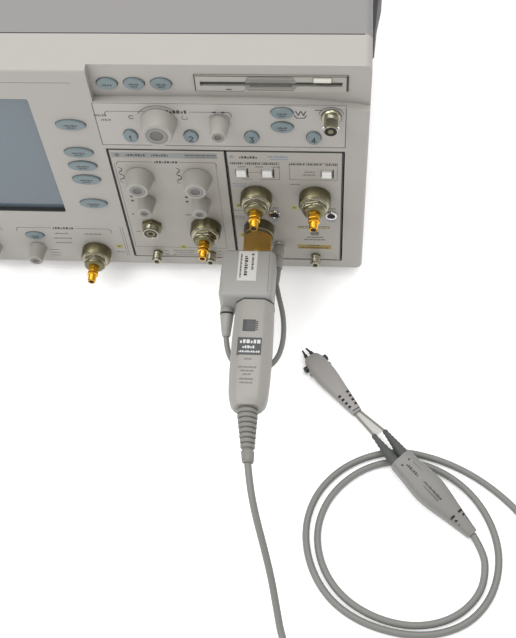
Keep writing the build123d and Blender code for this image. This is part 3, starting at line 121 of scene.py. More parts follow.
BEZEL = finish("bezel_plastic", (154, 150, 145), 0.55, grain=0.35, bump=0.25, mottle=0.02)
OVERLAY = finish("overlay_film", (156, 152, 147), 0.42, grain=0.6, bump=0.06, mottle=0.015)
MODULE = finish("module_paint", (150, 146, 139), 0.5, grain=0.45, bump=0.12, mottle=0.02)
COVER = finish("cover_paint", (124, 121, 121), 0.6, grain=0.7, bump=0.45, mottle=0.025)
REAR = finish("rear_paint", (132, 130, 128), 0.55, grain=0.6, bump=0.35, mottle=0.03)
SCREEN = finish("screen_glass", (84, 96, 104), 0.16, grain=0.8, bump=0.02, mottle=0.03, coat=0.3)
# Black for the screen's gasket and the case's joints, and for painted shade in the gaps round the modules.
GASKET_AND_GAP_SHADE = finish("gasket_black_and_painted_gap_shade", (30, 31, 32), 0.7, grain=0.3, bump=0.2)
KEY = finish("key_plastic", (102, 115, 118), 0.38, bump=0.08, mottle=0.04)
WHITE_KEY = finish("white_key", (205, 204, 200), 0.35, bump=0.06)
KNOB = finish("knob_plastic", (145, 142, 136), 0.5, grain=0.35, bump=0.18, mottle=0.03)
# Painted shade: darker copies of the knob's grey for the ring round a knob's dimple and for the dimple's
# hollow.
KNOB_RIM_SHADE = finish("knob_rim_painted_shade", (112, 110, 106), 0.45, grain=0.35, bump=0.12, mottle=0.03)
DIMPLE_SHADE = finish("knob_dimple_painted_shade", (92, 90, 88), 0.55, grain=0.35, bump=0.12)
STRAP = finish("handle_rubber", (62, 62, 64), 0.65, grain=0.5, bump=0.5, mottle=0.06)
FOOT = finish("foot_plastic", (70, 70, 72), 0.6, grain=0.5, bump=0.35)
NICKEL = finish("nickel", (158, 154, 136), 0.24, metallic=1.0, grain=0.5, bump=0.04, mottle=0.06)
DULL_NICKEL = finish("dull_nickel", (114, 109, 84), 0.36, metallic=1.0, grain=0.3, bump=0.1, mottle=0.1)
CHROME = finish("chrome", (205, 205, 203), 0.12, metallic=1.0, grain=0.8, bump=0.02)
GOLD = finish("gold_plate", (214, 160, 52), 0.2, metallic=1.0, bump=0.05, mottle=0.08)
BRASS = finish("brass_nut", (208, 166, 92), 0.32, metallic=1.0, bump=0.08, mottle=0.1)
BLACK = finish("black_plastic", (28, 28, 29), 0.45, grain=0.3, bump=0.15)
# Painted shade: near-black for the insides of bores, sockets, vents and slots, and for a key's cast shadow.
DEEP_SHADE = finish("painted_deep_shade", (10, 10, 10), 0.8, grain=0.3, bump=0.1)
INK = ink_finish("print_ink", (44, 45, 46))
PALE_INK = ink_finish("pale_ink", (88, 88, 87))
WHITE_INK = ink_finish("white_ink", (190, 190, 186))
YELLOW_INK = ink_finish("yellow_ink", (150, 146, 50))
OCHRE_INK = ink_finish("ochre_ink", (134, 112, 48))
BLUE_INK = ink_finish("blue_ink", (98, 116, 138))
NAME_STRIP = finish("name_strip", (122, 124, 122), 0.45, grain=0.3, bump=0.04)
ADAPTER = finish("adapter_plastic", (140, 138, 134), 0.48, bump=0.2, mottle=0.025)
POD = finish("pod_plastic", (140, 137, 132), 0.46, bump=0.2, mottle=0.025)
PROBE = finish("probe_plastic", (119, 117, 114), 0.48, bump=0.2, mottle=0.03)
# Painted light: the probe's plastic again, made lighter so that the head reads brighter than the amplifier.
PROBE_HEAD_PAINTED_LIGHT = finish("probe_plastic_painted_lighter", (136, 133, 130), 0.48, bump=0.2, mottle=0.03)
RELIEF = finish("relief_rubber", (118, 116, 111), 0.62, grain=0.35, bump=0.25, mottle=0.04)
JACKET = finish("cable_jacket", (112, 113, 109), 0.5, grain=0.25, bump=0.12, mottle=0.03)
BOOT = finish("boot_rubber", (66, 68, 66), 0.62, grain=0.3, bump=0.3, mottle=0.06)
LABEL_DARK = finish("label_dark", (48, 52, 54), 0.4, bump=0.05)
LABEL_WHITE = finish("label_white", (184, 182, 177), 0.4, bump=0.05)
RIBBON = finish("ribbon_white", (176, 174, 170), 0.45, grain=0.3, bump=0.1)
LATCH = finish("latch_plastic", (84, 84, 82), 0.5, grain=0.3, bump=0.2)
DRIVE = finish("drive_plastic", (150, 148, 140), 0.45, grain=0.35, bump=0.2, mottle=0.02)
# Painted shade: a darker copy of the drive's grey for the hollow of its finger scoop.
SCOOP_SHADE = finish("drive_scoop_painted_shade", (112, 111, 104), 0.5, grain=0.35, bump=0.2, mottle=0.03)
DOOR = finish("drive_door", (66, 64, 58), 0.5, grain=0.35, bump=0.2, mottle=0.04)
EJECT = finish("eject_plastic", (200, 198, 186), 0.4, grain=0.35, bump=0.15)
METAL = finish("sheet_metal", (188, 190, 192), 0.35, metallic=1.0, grain=0.6, bump=0.06)
BOARD = finish("board_green", (36, 92, 58), 0.4, grain=0.5, bump=0.1, mottle=0.1)
SCREW = finish("screw_steel", (170, 170, 168), 0.3, metallic=1.0, bump=0.06)


# ---------------- mesh helpers
def show(name, data):
    """Puts a mesh, curve, lamp or camera into the scene as an object."""
    made = bpy.data.objects.new(name, data)
    bpy.context.scene.collection.objects.link(made)
    return made


def across(origin, ahead, level=None):
    """The matrix of a plane at origin whose z is ahead, x level and y as upright as it can be."""
    ahead = ahead.normalized()
    side = (level if level is not None else ahead.cross(Vector((0, 0, 1)))).normalized()
    up = ahead.cross(side)
    return Matrix((
        (side.x, up.x, ahead.x, origin.x),
        (side.y, up.y, ahead.y, origin.y),
        (side.z, up.z, ahead.z, origin.z),
        (0, 0, 0, 1),
    ))


def on_face(x, z, y=0.0):
    """The front's plane at (x, z): its x to the right, its y up and its z out towards the user."""
    return across(place(x, y, z), Vector((0, -1, 0)), Vector((1, 0, 0)))


LEAST_RADIUS = 0.02
SHARP_ANGLE = radians(38)


class Piece:
    """One mesh, gathered from turned, lofted and cut-out forms, each with its own finish."""

    def __init__(self, name):
        self.name = name
        self.mesh = bmesh.new()
        self.finishes = []

    def number(self, look):
        if look not in self.finishes:
            self.finishes.append(look)
        return self.finishes.index(look)

    def rings(self, loops, look, closed=True):
        """Skins a row of closed loops of points, all with the same count, and closes both ends."""
        index = self.number(look)
        made = [[self.mesh.verts.new(point) for point in loop] for loop in loops]
        faces = []
        for first, second in zip(made, made[1:]):
            count = len(first)
            for k in range(count):
                corner = (first[k], first[(k + 1) % count], second[(k + 1) % count], second[k])
                faces.append(self.mesh.faces.new(corner))
        if closed:
            faces.append(self.mesh.faces.new(list(reversed(made[0]))))
            faces.append(self.mesh.faces.new(made[-1]))
        for face in faces:
            face.material_index = index
            face.smooth = True

    def lathe(self, matrix, profile, look, segments=40, closed=True):
        """Turns a profile of (radius, height) in mm about the matrix's z."""
        turns = [2 * pi * k / segments for k in range(segments)]
        loops = []
        for radius, height in profile:
            reach = max(radius, LEAST_RADIUS)
            circle = [(reach * cos(turn), reach * sin(turn), height) for turn in turns]
            loops.append([matrix @ Vector((x * MM, y * MM, z * MM)) for x, y, z in circle])
        self.rings(loops, look, closed)

    def prism(self, matrix, outline, low, high, look, bevel=0.0):
        """A flat outline in mm made solid between two heights, with its top edge rounded off."""
        steps = [(low, 0.0), (high - bevel, 0.0)]
        if bevel:
            steps += [(high - bevel * (1 - sin(a)), bevel * (1 - cos(a))) for a in (pi / 6, pi / 3, pi / 2)]
        loops = [[matrix @ Vector((x * MM, y * MM, height * MM)) for x, y in inset(outline, pull)]
                 for height, pull in steps]
        self.rings(loops, look)

    def box(self, matrix, x0, x1, y0, y1, low, high, look, bevel=0.0):
        self.prism(matrix, [(x0, y0), (x1, y0), (x1, y1), (x0, y1)], low, high, look, bevel)

    def place_in(self, body, slot_name, *replaced):
        """Makes the mesh an object that rides on a body, and may stand for CAD nodes."""
        data = bpy.data.meshes.new(self.name)
        bmesh.ops.recalc_face_normals(self.mesh, faces=self.mesh.faces)
        self.mesh.to_mesh(data)
        self.mesh.free()
        for used in self.finishes:
            data.materials.append(used)
        data.set_sharp_from_angle(angle=SHARP_ANGLE)
        made = show(self.name, data)
        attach(made, body)
        if replaced:
            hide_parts(*replaced)
        return made


def inset(outline, pull):
    """An outline drawn in by a distance, corner by corner."""
    if not pull:
        return outline
    drawn = []
    count = len(outline)
    for k, (x, y) in enumerate(outline):
        before, after = Vector(outline[k - 1]), Vector(outline[(k + 1) % count])
        here = Vector((x, y))
        a, b = (here - before).normalized(), (after - here).normalized()
        normal = Vector((-a.y - b.y, a.x + b.x))
        scale = pull / max(0.2, normal.length_squared / 2)
        drawn.append((x + normal.x * scale, y + normal.y * scale))
    return drawn


def rounded(width, height, corner, steps=6):
    """A rectangle with round corners, as points in mm, anticlockwise."""
    points = []
    for k, (sx, sy) in enumerate(((1, 1), (-1, 1), (-1, -1), (1, -1))):
        cx, cy = sx * (width / 2 - corner), sy * (height / 2 - corner)
        for step in range(steps + 1):
            angle = pi / 2 * (k + step / steps)
            points.append((cx + corner * cos(angle), cy + corner * sin(angle)))
    return points


def polygon(across_flats, sides, turn=0.0):
    radius = across_flats / 2 / cos(pi / sides)
    angles = [turn + 2 * pi * k / sides for k in range(sides)]
    return [(radius * cos(angle), radius * sin(angle)) for angle in angles]


def superellipse(width, height, power, segments=40):
    """A rounded-box section: power 2 is an ellipse and higher powers are squarer."""
    points = []
    for k in range(segments):
        angle = 2 * pi * k / segments
        c, s = cos(angle), sin(angle)
        x = abs(c) ** (2 / power) * (1 if c >= 0 else -1)
        y = abs(s) ** (2 / power) * (1 if s >= 0 else -1)
        points.append((x * width / 2, y * height / 2))
    return points


def smooth_steps(rows, count):
    """Rows of numbers joined by smooth curves, sampled evenly: a body's sections from a few of them."""
    sampled = []
    for k in range(count + 1):
        t = k / count * (rows[-1][0] - rows[0][0]) + rows[0][0]
        i = max(j for j in range(len(rows) - 1) if rows[j][0] <= t + 1e-9)
        a, b = rows[i], rows[i + 1]
        before, after = rows[max(i - 1, 0)], rows[min(i + 2, len(rows) - 1)]
        u = (t - a[0]) / (b[0] - a[0])
        values = [t]
        for c in range(1, len(a)):
            slope_a = (b[c] - before[c]) / (b[0] - before[0]) * (b[0] - a[0])
            slope_b = (after[c] - a[c]) / (after[0] - a[0]) * (b[0] - a[0])
            h = u * u * (3 - 2 * u)
            bend = (u - 2 * u**2 + u**3) * slope_a + (u**3 - u**2) * slope_b
            values.append(a[c] * (1 - h) + b[c] * h + bend)
        sampled.append(values)
    return sampled


# ---------------- cords
CABLE_DIAMETER = 5.0
LEAD_DIAMETER = 4.0
BENCH = -FOOT_HEIGHT + CABLE_DIAMETER / 2 + 0.1
RELIEF_TIP = (137.2, -195.0, 47.6)
AMPLIFIER_TIP = (292.3, -218.0, -6.6)
BOOT_TIP = (113.4, -92.5, 41.0)
PLUG_TIP = (146.5, -36.6, 31.0)
CABLE_ROUTE = [
    RELIEF_TIP,
    (139.2, -209.0, 44.8),
    (143.8, -227.0, 37.2),
    (150.3, -245.5, 25.0),
    (155.5, -261.5, 12.5),
    (159.5, -278.0, 2.0),
    (163.5, -295.0, -6.5),
    (171.0, -311.0, BENCH),
    (189.0, -322.0, BENCH),
    (218.0, -325.5, BENCH),
    (250.0, -324.0, BENCH),
    (282.0, -319.5, BENCH),
    (312.0, -309.0, BENCH),
    (335.0, -288.0, BENCH),
    (345.0, -260.0, BENCH),
    (344.0, -232.0, BENCH),
    (333.0, -208.0, BENCH),
    (315.0, -187.5, BENCH),
    (293.0, -171.0, BENCH),
    (268.0, -160.0, BENCH),
    (243.0, -155.5, BENCH),
    (219.0, -160.5, BENCH),
    (198.0, -173.0, BENCH),
    (182.5, -192.0, BENCH),
    (175.5, -216.0, BENCH),
    (179.0, -242.0, BENCH),
    (191.5, -265.0, BENCH),
    (211.0, -280.0, BENCH),
    (236.0, -288.0, BENCH),
    (262.0, -289.0, BENCH),
    (287.0, -280.0, BENCH),
    (304.0, -261.0, BENCH),
    (311.0, -236.0, BENCH),
    (307.5, -211.0, BENCH),
    (295.0, -188.0, BENCH),
    (275.0, -171.0, BENCH),
    (251.0, -163.0, BENCH),
    (226.0, -166.0, BENCH),
    (205.0, -178.5, BENCH),
    (189.5, -198.0, BENCH),
    (183.5, -222.0, BENCH),
    (189.0, -247.0, BENCH),
    (204.0, -267.0, BENCH),
    (227.0, -279.5, BENCH),
    (253.0, -283.5, BENCH),
    (278.5, -276.5, BENCH),
    (296.5, -259.0, BENCH),
    (301.0, -239.0, -9.0),
    (297.5, -226.5, -7.9),
    AMPLIFIER_TIP,
]
LEAD_ROUTE = [
    BOOT_TIP,
    (114.6, -102.0, 38.0),
    (119.5, -110.5, 34.5),
    (128.5, -115.5, 32.0),
    (140.5, -114.5, 31.0),
    (150.0, -107.0, 31.2),
    (154.2, -95.0, 31.0),
    (155.2, -80.0, 31.3),
    (153.4, -64.0, 31.0),
    (149.5, -50.0, 31.2),
    PLUG_TIP,
]


def make_cord(name, route, diameter, node):
    """A cable as one smooth curve through its given points."""
    data = bpy.data.curves.new(name, "CURVE")
    data.dimensions = "3D"
    data.bevel_depth = diameter / 2 * MM
    data.bevel_resolution = 7
    data.resolution_u = 10
    data.use_fill_caps = True
    spline = data.splines.new("NURBS")
    spline.points.add(len(route) - 1)
    for point, spot in zip(spline.points, route):
        point.co = (*place(*spot), 1.0)
    spline.order_u = 3
    spline.use_endpoint_u = True
    data.materials.append(JACKET)
    cord = show(name, data)
    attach(cord, "right_module")
    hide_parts(node)
    return cord


probe_cord = make_cord("probe_cord", CABLE_ROUTE, CABLE_DIAMETER, "probe_cable")
adapter_cord = make_cord("adapter_cord", LEAD_ROUTE, LEAD_DIAMETER, "adapter_cable")

# ---------------- carried-over CAD nodes
NODE_FINISHES = {
    "front_bezel": BEZEL,
    "control_overlay": OVERLAY,
    "display_window": SCREEN,
    "display_panel": BLACK,
    "top_cover": COVER,
    "bottom_cover": COVER,
    "rear_panel": REAR,
    "chassis_frame": METAL,
    "circuit_boards": BOARD,
    "disk_drive": DRIVE,
    "disk_door": DOOR,
    "eject_button": EJECT,
    "power_supply": METAL,
    "fan_frame": BLACK,
    "fan_rotor": BLACK,
    "feet": FOOT,
    "strap_handles": STRAP,
    "case_screws": SCREW,
    "tilt_bail": CHROME,
    "left_module": MODULE,
    "right_module": MODULE,
    "power_button": KNOB,
    "panel_connectors": DULL_NICKEL,
    "left_module_connectors": DULL_NICKEL,
    "right_module_connectors": DULL_NICKEL,
    "adapter_housing": ADAPTER,
    "adapter_plug": ADAPTER,
    "pod_housing": POD,
    "pod_latch": LATCH,
    "probe_amplifier": PROBE,
    "probe_head": PROBE_HEAD_PAINTED_LIGHT,
    "probe_leads": BOOT,
}
for node, shown in nodes.items():
    given = NODE_FINISHES.get(node)
    if given is None:
        given = KNOB if "knob" in node else WHITE_KEY if "module_key" in node else KEY
    shown.data.materials.clear()
    shown.data.materials.append(given)

# ---------------- prints
FACE = on_face(0, 0)
DIGITS = {
    1: [(0.25, 0.75), (0.5, 1.0), (0.5, 0.0)],
    2: [(0.1, 0.8), (0.3, 1.0), (0.7, 1.0), (0.9, 0.8), (0.85, 0.6), (0.1, 0.0), (0.9, 0.0)],
    3: [(0.1, 1.0), (0.9, 1.0), (0.45, 0.6), (0.85, 0.45), (0.85, 0.15), (0.55, 0.0), (0.1, 0.1)],
    4: [(0.95, 0.3), (0.1, 0.3), (0.7, 1.0), (0.7, 0.0)],
}


def stroke(piece, matrix, points, width, ink, top=0.05):
    """A thin printed line through points in mm."""
    for (x0, y0), (x1, y1) in zip(points, points[1:]):
        ahead = Vector((x1 - x0, y1 - y0)).normalized() * width / 2
        ends = (x0 - ahead.x, y0 - ahead.y, x1 + ahead.x, y1 + ahead.y)
        outline = [
            (ends[0] + ahead.y, ends[1] - ahead.x),
            (ends[2] + ahead.y, ends[3] - ahead.x),
            (ends[2] - ahead.y, ends[3] + ahead.x),
            (ends[0] - ahead.y, ends[1] + ahead.x),
        ]
        piece.prism(matrix, outline, -0.05, top, ink)


def line(piece, points, width, ink):
    """A thin line printed on the front."""
    stroke(piece, FACE, points, width, ink)


def word(piece, matrix, x, y, length, height, ink, top=0.05):
    """A row of plain marks that reads as fine print from afar, with no letters in it."""
    reach = -length / 2
    mark = 0
    while reach < length / 2 - 0.3 * height:
        width = height * (0.42 + 0.16 * (mark * 7 % 3))
        tall = height * (1.0 if mark * 5 % 3 else 0.7)
        left, low = x + reach, y - height / 2
        piece.box(matrix, left, left + width, low, low + tall, -0.05, top, ink)
        reach += width + 0.26 * height
        mark += 1


def dash(piece, matrix, x, y, length, height, ink, top=0.05):
    piece.box(matrix, x - length / 2, x + length / 2, y - height / 2, y + height / 2, -0.05, top, ink)


def disc(piece, matrix, x, y, radius, ink, top=0.05):
    outline = [(x + radius * cos(k * pi / 8), y + radius * sin(k * pi / 8)) for k in range(16)]
    piece.prism(matrix, outline, -0.05, top, ink)


def arc_points(x, y, radius, start, stop, count=16, squash=1.0):
    turns = [radians(start + (stop - start) * k / count) for k in range(count + 1)]
    return [(x + radius * cos(turn), y + radius * squash * sin(turn)) for turn in turns]


def heading(piece, x0, x1, z, label_length, drop, height):
    """A group's heading: print in the middle of a thin line whose ends turn down."""
    middle = (x0 + x1) / 2
    gap = label_length / 2 + 1.5
    word(piece, FACE, middle, z, label_length, height, INK)
    left = arc_points(x0 + 2.5, z - 2.5, 2.5, 180, 90, 5)
    right = arc_points(x1 - 2.5, z - 2.5, 2.5, 0, 90, 5)
    line(piece, [(x0, z - drop), *left, (middle - gap, z)], 0.45, PALE_INK)
    line(piece, [(x1, z - drop), *right, (middle + gap, z)], 0.45, PALE_INK)


def hairline_box(piece, x0, x1, z0, z1):
    line(piece, [(x0, z0), (x1, z0), (x1, z1), (x0, z1), (x0, z0)], 0.35, PALE_INK)


def tile_mark(piece, x, z, size=3.4):
    """A plain yellow-green tile with a darker disc in its middle."""
    dash(piece, FACE, x, z, size * 1.25, size * 1.1, YELLOW_INK, 0.04)
    disc(piece, FACE, x, z, size * 0.3, PALE_INK, 0.06)


def captions(piece, *rows):
    """Fine print on the front, in rows of (x, z, length, height, ink)."""
    for row in rows:
        word(piece, FACE, *row)


# Places of the front's connectors, as (x, z).
CALIBRATOR = (187.0, 175.5)
TRIGGER_INPUT = (-1.7, 17.5)
CHANNEL_1_INPUT = (48.5, 52.5)
CHANNEL_2_INPUT = (91.0, 52.5)
CHANNEL_3_INPUT = (132.4, 91.5)
CHANNEL_4_INPUT = (175.7, 91.5)
PROBED_INPUT = (132.4, 52.5)
ADAPTER_INPUT = (146.5, 31.0)
JACKS = ((145.0, 70.0), (187.8, 70.0))
POST_Z = 17.0
ADAPTER_BACK, ADAPTER_FRONT = 30.5, 72.5

front_print = Piece("front_print")
heading(front_print, 34.0, 120.0, 178.3, 27.0, 4.5, 3.0)
captions(front_print, (30.8, 174.3, 9.5, 1.8, PALE_INK), (34.0, 170.0, 7.5, 1.8, PALE_INK))
scale_x, scale_z = centre("horizontal_scale_knob")
line(front_print, arc_points(scale_x, scale_z - 0.5, 15.6, 150, 35), 0.5, PALE_INK)
line(front_print, arc_points(scale_x - 18.5, scale_z + 4.0, 1.6, 40, 320, 10), 0.5, INK)
line(front_print, arc_points(scale_x + 18.0, scale_z + 4.0, 1.9, 120, 380, 10), 0.4, PALE_INK)
position_x, position_z = centre("horizontal_position_knob")
for side in (-1, 1):
    base = position_x + side * 2.0
    arrow = [(base, position_z + 10.5), (base + side * 3.4, position_z + 9.6), (base, position_z + 8.7)]
    front_print.prism(FACE, arrow if side < 0 else arrow[::-1], -0.05, 0.05, INK)
line(front_print, arc_points(position_x, position_z, 8.2, 150, 25), 0.4, PALE_INK)
for x in (163.5, 167.0):
    line(front_print, [(x, 179.8), (x + 1.6, 176.4), (x + 3.0, 179.8)], 0.8, INK)
line(front_print, [(162.5, 176.0), (164.0, 173.6), (169.0, 173.6), (170.5, 176.0)], 0.7, INK)
dash(front_print, FACE, 178.5, 181.3, 5.0, 1.0, PALE_INK)
line(front_print, arc_points(*CALIBRATOR, 8.6, 165, 15), 0.5, PALE_INK)
hairline_box(front_print, 27.0, 196.7, 145.1, 186.0)

heading(front_print, -62.0, 14.5, 46.6, 16.5, 5.0, 2.6)
captions(
    front_print,
    (-26.5, 39.6, 11.0, 1.5, PALE_INK),
    (-26.5, 33.4, 15.0, 1.5, PALE_INK),
    (-26.5, 27.4, 14.0, 1.5, PALE_INK),
    (-1.0, 39.6, 14.0, 1.4, PALE_INK),
)
for z in (17.5, 13.6, 10.0):
    dash(front_print, FACE, -37.5, z, 8.0, 0.6, PALE_INK)
tile_mark(front_print, 17.9, 24.1, 4.0)
captions(front_print, (17.5, 16.5, 7.0, 1.3, PALE_INK))
for x in (22.4, 24.2):
    line(front_print, [(x, 12.0), (x, 50.0)], 0.35, PALE_INK)
heading(front_print, -140.0, -74.0, 46.6, 15.0, 5.0, 2.6)
captions(
    front_print,
    (-172.0, 24.0, 10.0, 1.6, PALE_INK),
    (-97.2, 61.5, 24.0, 1.8, PALE_INK),
    (-97.2, 196.5, 40.0, 3.0, PALE_INK),
    *[(-194.0, 76.0 + 13.0 * k, 9.0, 1.4, PALE_INK) for k in range(9)],
)
line(front_print, [(-195.0, 204.0), (16.0, 204.0)], 0.3, PALE_INK)
front_print.place_in("mainframe", "overlay_film")

left_print = Piece("left_module_print")
dash(left_print, FACE, 68.8, 134.4, 76.5, 5.6, NAME_STRIP, 0.03)
disc(left_print, FACE, 35.0, 134.4, 1.9, PALE_INK, 0.06)
heading(left_print, 33.0, 105.5, 127.2, 17.0, 3.5, 2.3)
captions(
    left_print,
    (48.5, 134.4, 14.5, 2.2, INK),
    (66.0, 134.4, 12.5, 2.2, INK),
    (95.0, 134.9, 23.0, 1.5, INK),
    (95.0, 132.6, 23.0, 1.0, PALE_INK),
    (79.0, 66.8, 5.5, 1.6, PALE_INK),
    (88.0, 66.8, 6.0, 1.4, PALE_INK),
    (36.8, 44.5, 3.4, 1.3, PALE_INK),
    (79.1, 44.5, 3.4, 1.3, PALE_INK),
    (70.0, 20.2, 18.0, 1.1, PALE_INK),
    (70.0, 17.6, 15.0, 1.1, PALE_INK),
    (70.0, 14.4, 19.0, 1.1, PALE_INK),
    (58.5, 13.5, 9.0, 0.9, PALE_INK),
)
for channel in (1, 2):
    left = centre(f"channel_{channel}_scale_knob")[0] - 12.8
    for lift, radius in ((118.5, 2.2), (110.5, 2.8)):
        line(left_print, arc_points(left - 1.5, lift, radius, 80, -80, 8), 0.55, INK)
        line(left_print, arc_points(left + 0.5, lift - 4.2, radius, 100, 250, 8), 0.45, PALE_INK)
    for z in (88.0, 82.8):
        disc(left_print, FACE, centre(f"channel_{channel}_offset_knob")[0] - 11.0, z, 1.15, INK)
disc(left_print, FACE, 35.8, 66.5, 0.9, PALE_INK)
line(left_print, [(31.4, 124.0), (31.4, 24.5), (105.0, 24.5)], 0.4, PALE_INK)
line(left_print, [(105.0, 124.0), (105.0, 24.5)], 0.3, PALE_INK)
tile_mark(left_print, 70.2, 25.2, 4.0)
for x in (55.6, 99.0):
    for z in (19.5, 15.5):
        dash(left_print, FACE, x, z, 3.4, 0.6, PALE_INK)
left, right = [corner.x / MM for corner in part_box("left_module")]
# Black lines down the module's left edge and along its top: painted shade in the gap round the module, wider
# than the gap.
line(left_print, [(left + 0.5, 12.0), (left + 0.5, 139.8)], 0.9, GASKET_AND_GAP_SHADE)
line(left_print, [(left + 0.5, 139.9), (right - 0.5, 139.9)], 0.9, GASKET_AND_GAP_SHADE)
left_print.place_in("left_module", "overlay_film")

right_print = Piece("right_module_print")
disc(right_print, FACE, 117.0, 134.0, 1.7, NAME_STRIP)
captions(
    right_print,
    (129.2, 133.6, 13.5, 2.3, INK),
    (149.8, 134.6, 15.0, 1.6, BLUE_INK),
    (151.0, 132.0, 13.0, 1.1, BLUE_INK),
    (120.2, 126.9, 9.5, 1.7, INK),
    (131.4, 126.9, 10.5, 1.7, INK),
    (143.5, 126.9, 10.5, 1.7, INK),
    (163.0, 126.9, 10.5, 1.7, INK),
    (175.0, 126.9, 10.5, 1.7, INK),
    (187.3, 126.9, 8.5, 1.7, INK),
    *[(x, 123.6, 6.0, 1.2, PALE_INK) for x in (123.5, 136.0, 148.0)],
    (172.0, 118.8, 8.0, 1.2, PALE_INK),
    (171.5, 115.6, 9.0, 1.2, PALE_INK),
    (120.3, 104.6, 11.0, 1.1, BLUE_INK),
    (120.3, 102.0, 8.0, 1.1, BLUE_INK),
    (161.5, 105.0, 8.0, 1.2, PALE_INK),
    *[(118.0, z, 8.0, 1.1, PALE_INK) for z in (73.6, 66.4, 64.0)],
    (174.3, 53.4, 25.0, 2.2, OCHRE_INK),
    (174.3, 55.2, 24.0, 1.0, INK),
    (175.2, 41.6, 13.0, 1.3, INK),
    (175.2, 38.4, 17.0, 1.3, INK),
)
for x, z in JACKS:
    captions(
        right_print,
        (x + 1.0, z + 7.2, 5.0, 1.2, INK),
        (x + 0.5, z - 6.4, 6.0, 1.0, BLUE_INK),
        (x + 0.5, z - 8.2, 5.0, 1.0, BLUE_INK),
    )
line(right_print, [(114.5, 128.3), (150.3, 128.3), (150.3, 110.0), (136.0, 110.0)], 0.4, PALE_INK)
line(right_print, [(122.9, 110.0), (130.0, 110.0)], 0.4, PALE_INK)
line(right_print, [(128.0, 117.5), (137.0, 117.5)], 0.35, PALE_INK)
hairline_box(right_print, 157.6, 191.8, 110.2, 128.3)
for number in (1, 2, 3):
    x, z = centre(f"module_key_{number}")
    # A dark line down each white key's right side: painted shadow cast by the key.
    line(right_print, [(x + 4.6, z - 4.6), (x + 4.6, z + 4.4)], 0.9, DEEP_SHADE)
    line(right_print, [(x - 4.2, z - 3.6), (x - 4.2, z + 3.8)], 0.3, PALE_INK)
for x, z in ((118.2, 79.4), (160.2, 78.0), (118.8, 42.8)):
    tile_mark(right_print, x, z)
dash(right_print, FACE, 175.2, 46.4, 6.4, 4.6, PALE_INK)
dash(right_print, FACE, 174.9, 28.9, 26.4, 5.2, OCHRE_INK, 0.03)
word(right_print, FACE, 174.9, 31.0, 10.0, 1.2, INK, 0.06)
word(right_print, FACE, 174.9, 27.8, 23.0, 1.5, INK, 0.06)
line(right_print, [(148.0, 12.7), (192.0, 12.7), (192.0, 18.0)], 0.3, PALE_INK)
line(right_print, [(114.0, 125.0), (114.0, 30.0)], 0.3, PALE_INK)
left, right = [corner.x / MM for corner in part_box("right_module")]
# Black lines down both edges of the module and along its top: painted shade in the gap round the module,
# wider than the gap.
for edge in (left + 0.55, right - 0.6):
    line(right_print, [(edge, 12.0), (edge, 139.6)], 1.0, GASKET_AND_GAP_SHADE)
line(right_print, [(left + 0.6, 139.8), (right - 0.6, 139.8)], 1.1, GASKET_AND_GAP_SHADE)
right_print.place_in("right_module", "overlay_film")


def key_top(node):
    """A frame on a key's or knob's outer face, from its CAD box."""
    low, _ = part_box(node)
    x, z = centre(node)
    return on_face(x, z, (low.y - FRONT_Y) / MM)


for node in nodes:
    if "_key" not in node or "module_key" in node:
        continue
    top = key_top(node)
    legend = Piece(node + "_print")
    if node.startswith("channel_key"):
        shape = DIGITS[int(node[-1])]
        stroke(legend, top, [(3.0 * (x - 0.5), 4.6 * (y - 0.5) - 1.2) for x, y in shape], 0.75, INK)
    elif node.startswith("mode_key"):
        word(legend, top, 0.0, 0.4, 9.5, 1.5, INK)
        word(legend, top, 0.0, -1.7, 6.5, 1.3, INK)
    elif node == "run_key":
        word(legend, top, 0.0, -0.6, 7.0, 1.4, INK)
    else:
        word(legend, top, 0.0, 0.3, 7.0, 1.4, INK)
        word(legend, top, 0.0, -1.7, 4.6, 1.2, INK)
    legend.place_in(node, "key_plastic")

# ---------------- knob faces
for node in nodes:
    if not node.endswith("_knob"):
        continue
    tip = {"horizontal_scale_knob": 21.0, "marker_knob": 11.0}.get(node)
    tip = tip or (15.5 if "scale" in node else 10.5 if "offset" in node else 11.0)
    knob_top = key_top(node)
    cap = Piece(node + "_cap")
    # The darker ring and the darker disc inside it are painted shade round and in the knob's dimple.
    ring = [(0.25, -0.1), (0.265, 0.05), (0.37, 0.05), (0.385, -0.1), (0.25, -0.1)]
    cap.lathe(knob_top, [(tip * share, height) for share, height in ring], KNOB_RIM_SHADE, closed=False)
    cap.prism(knob_top, polygon(tip * 0.45, 24), -0.82, -0.66, DIMPLE_SHADE)
    cap.place_in(node, "knob_plastic")

# ---------------- disk drive face
DRIVE_DEPTH = 5.0
DRIVE_FACE = on_face(0, 0, DRIVE_DEPTH)
drive_trim = Piece("disk_drive_trim")
stroke(drive_trim, DRIVE_FACE, [(97.7, 193.2), (97.7, 206.3), (197.2, 206.3)], 0.55, GASKET_AND_GAP_SHADE)
stroke(drive_trim, DRIVE_FACE, [(197.0, 206.3), (197.0, 194.0)], 0.9, GASKET_AND_GAP_SHADE)
stroke(drive_trim, DRIVE_FACE, [(98.0, 192.9), (128.5, 192.9), (131.8, 195.6)], 0.4, PALE_INK)
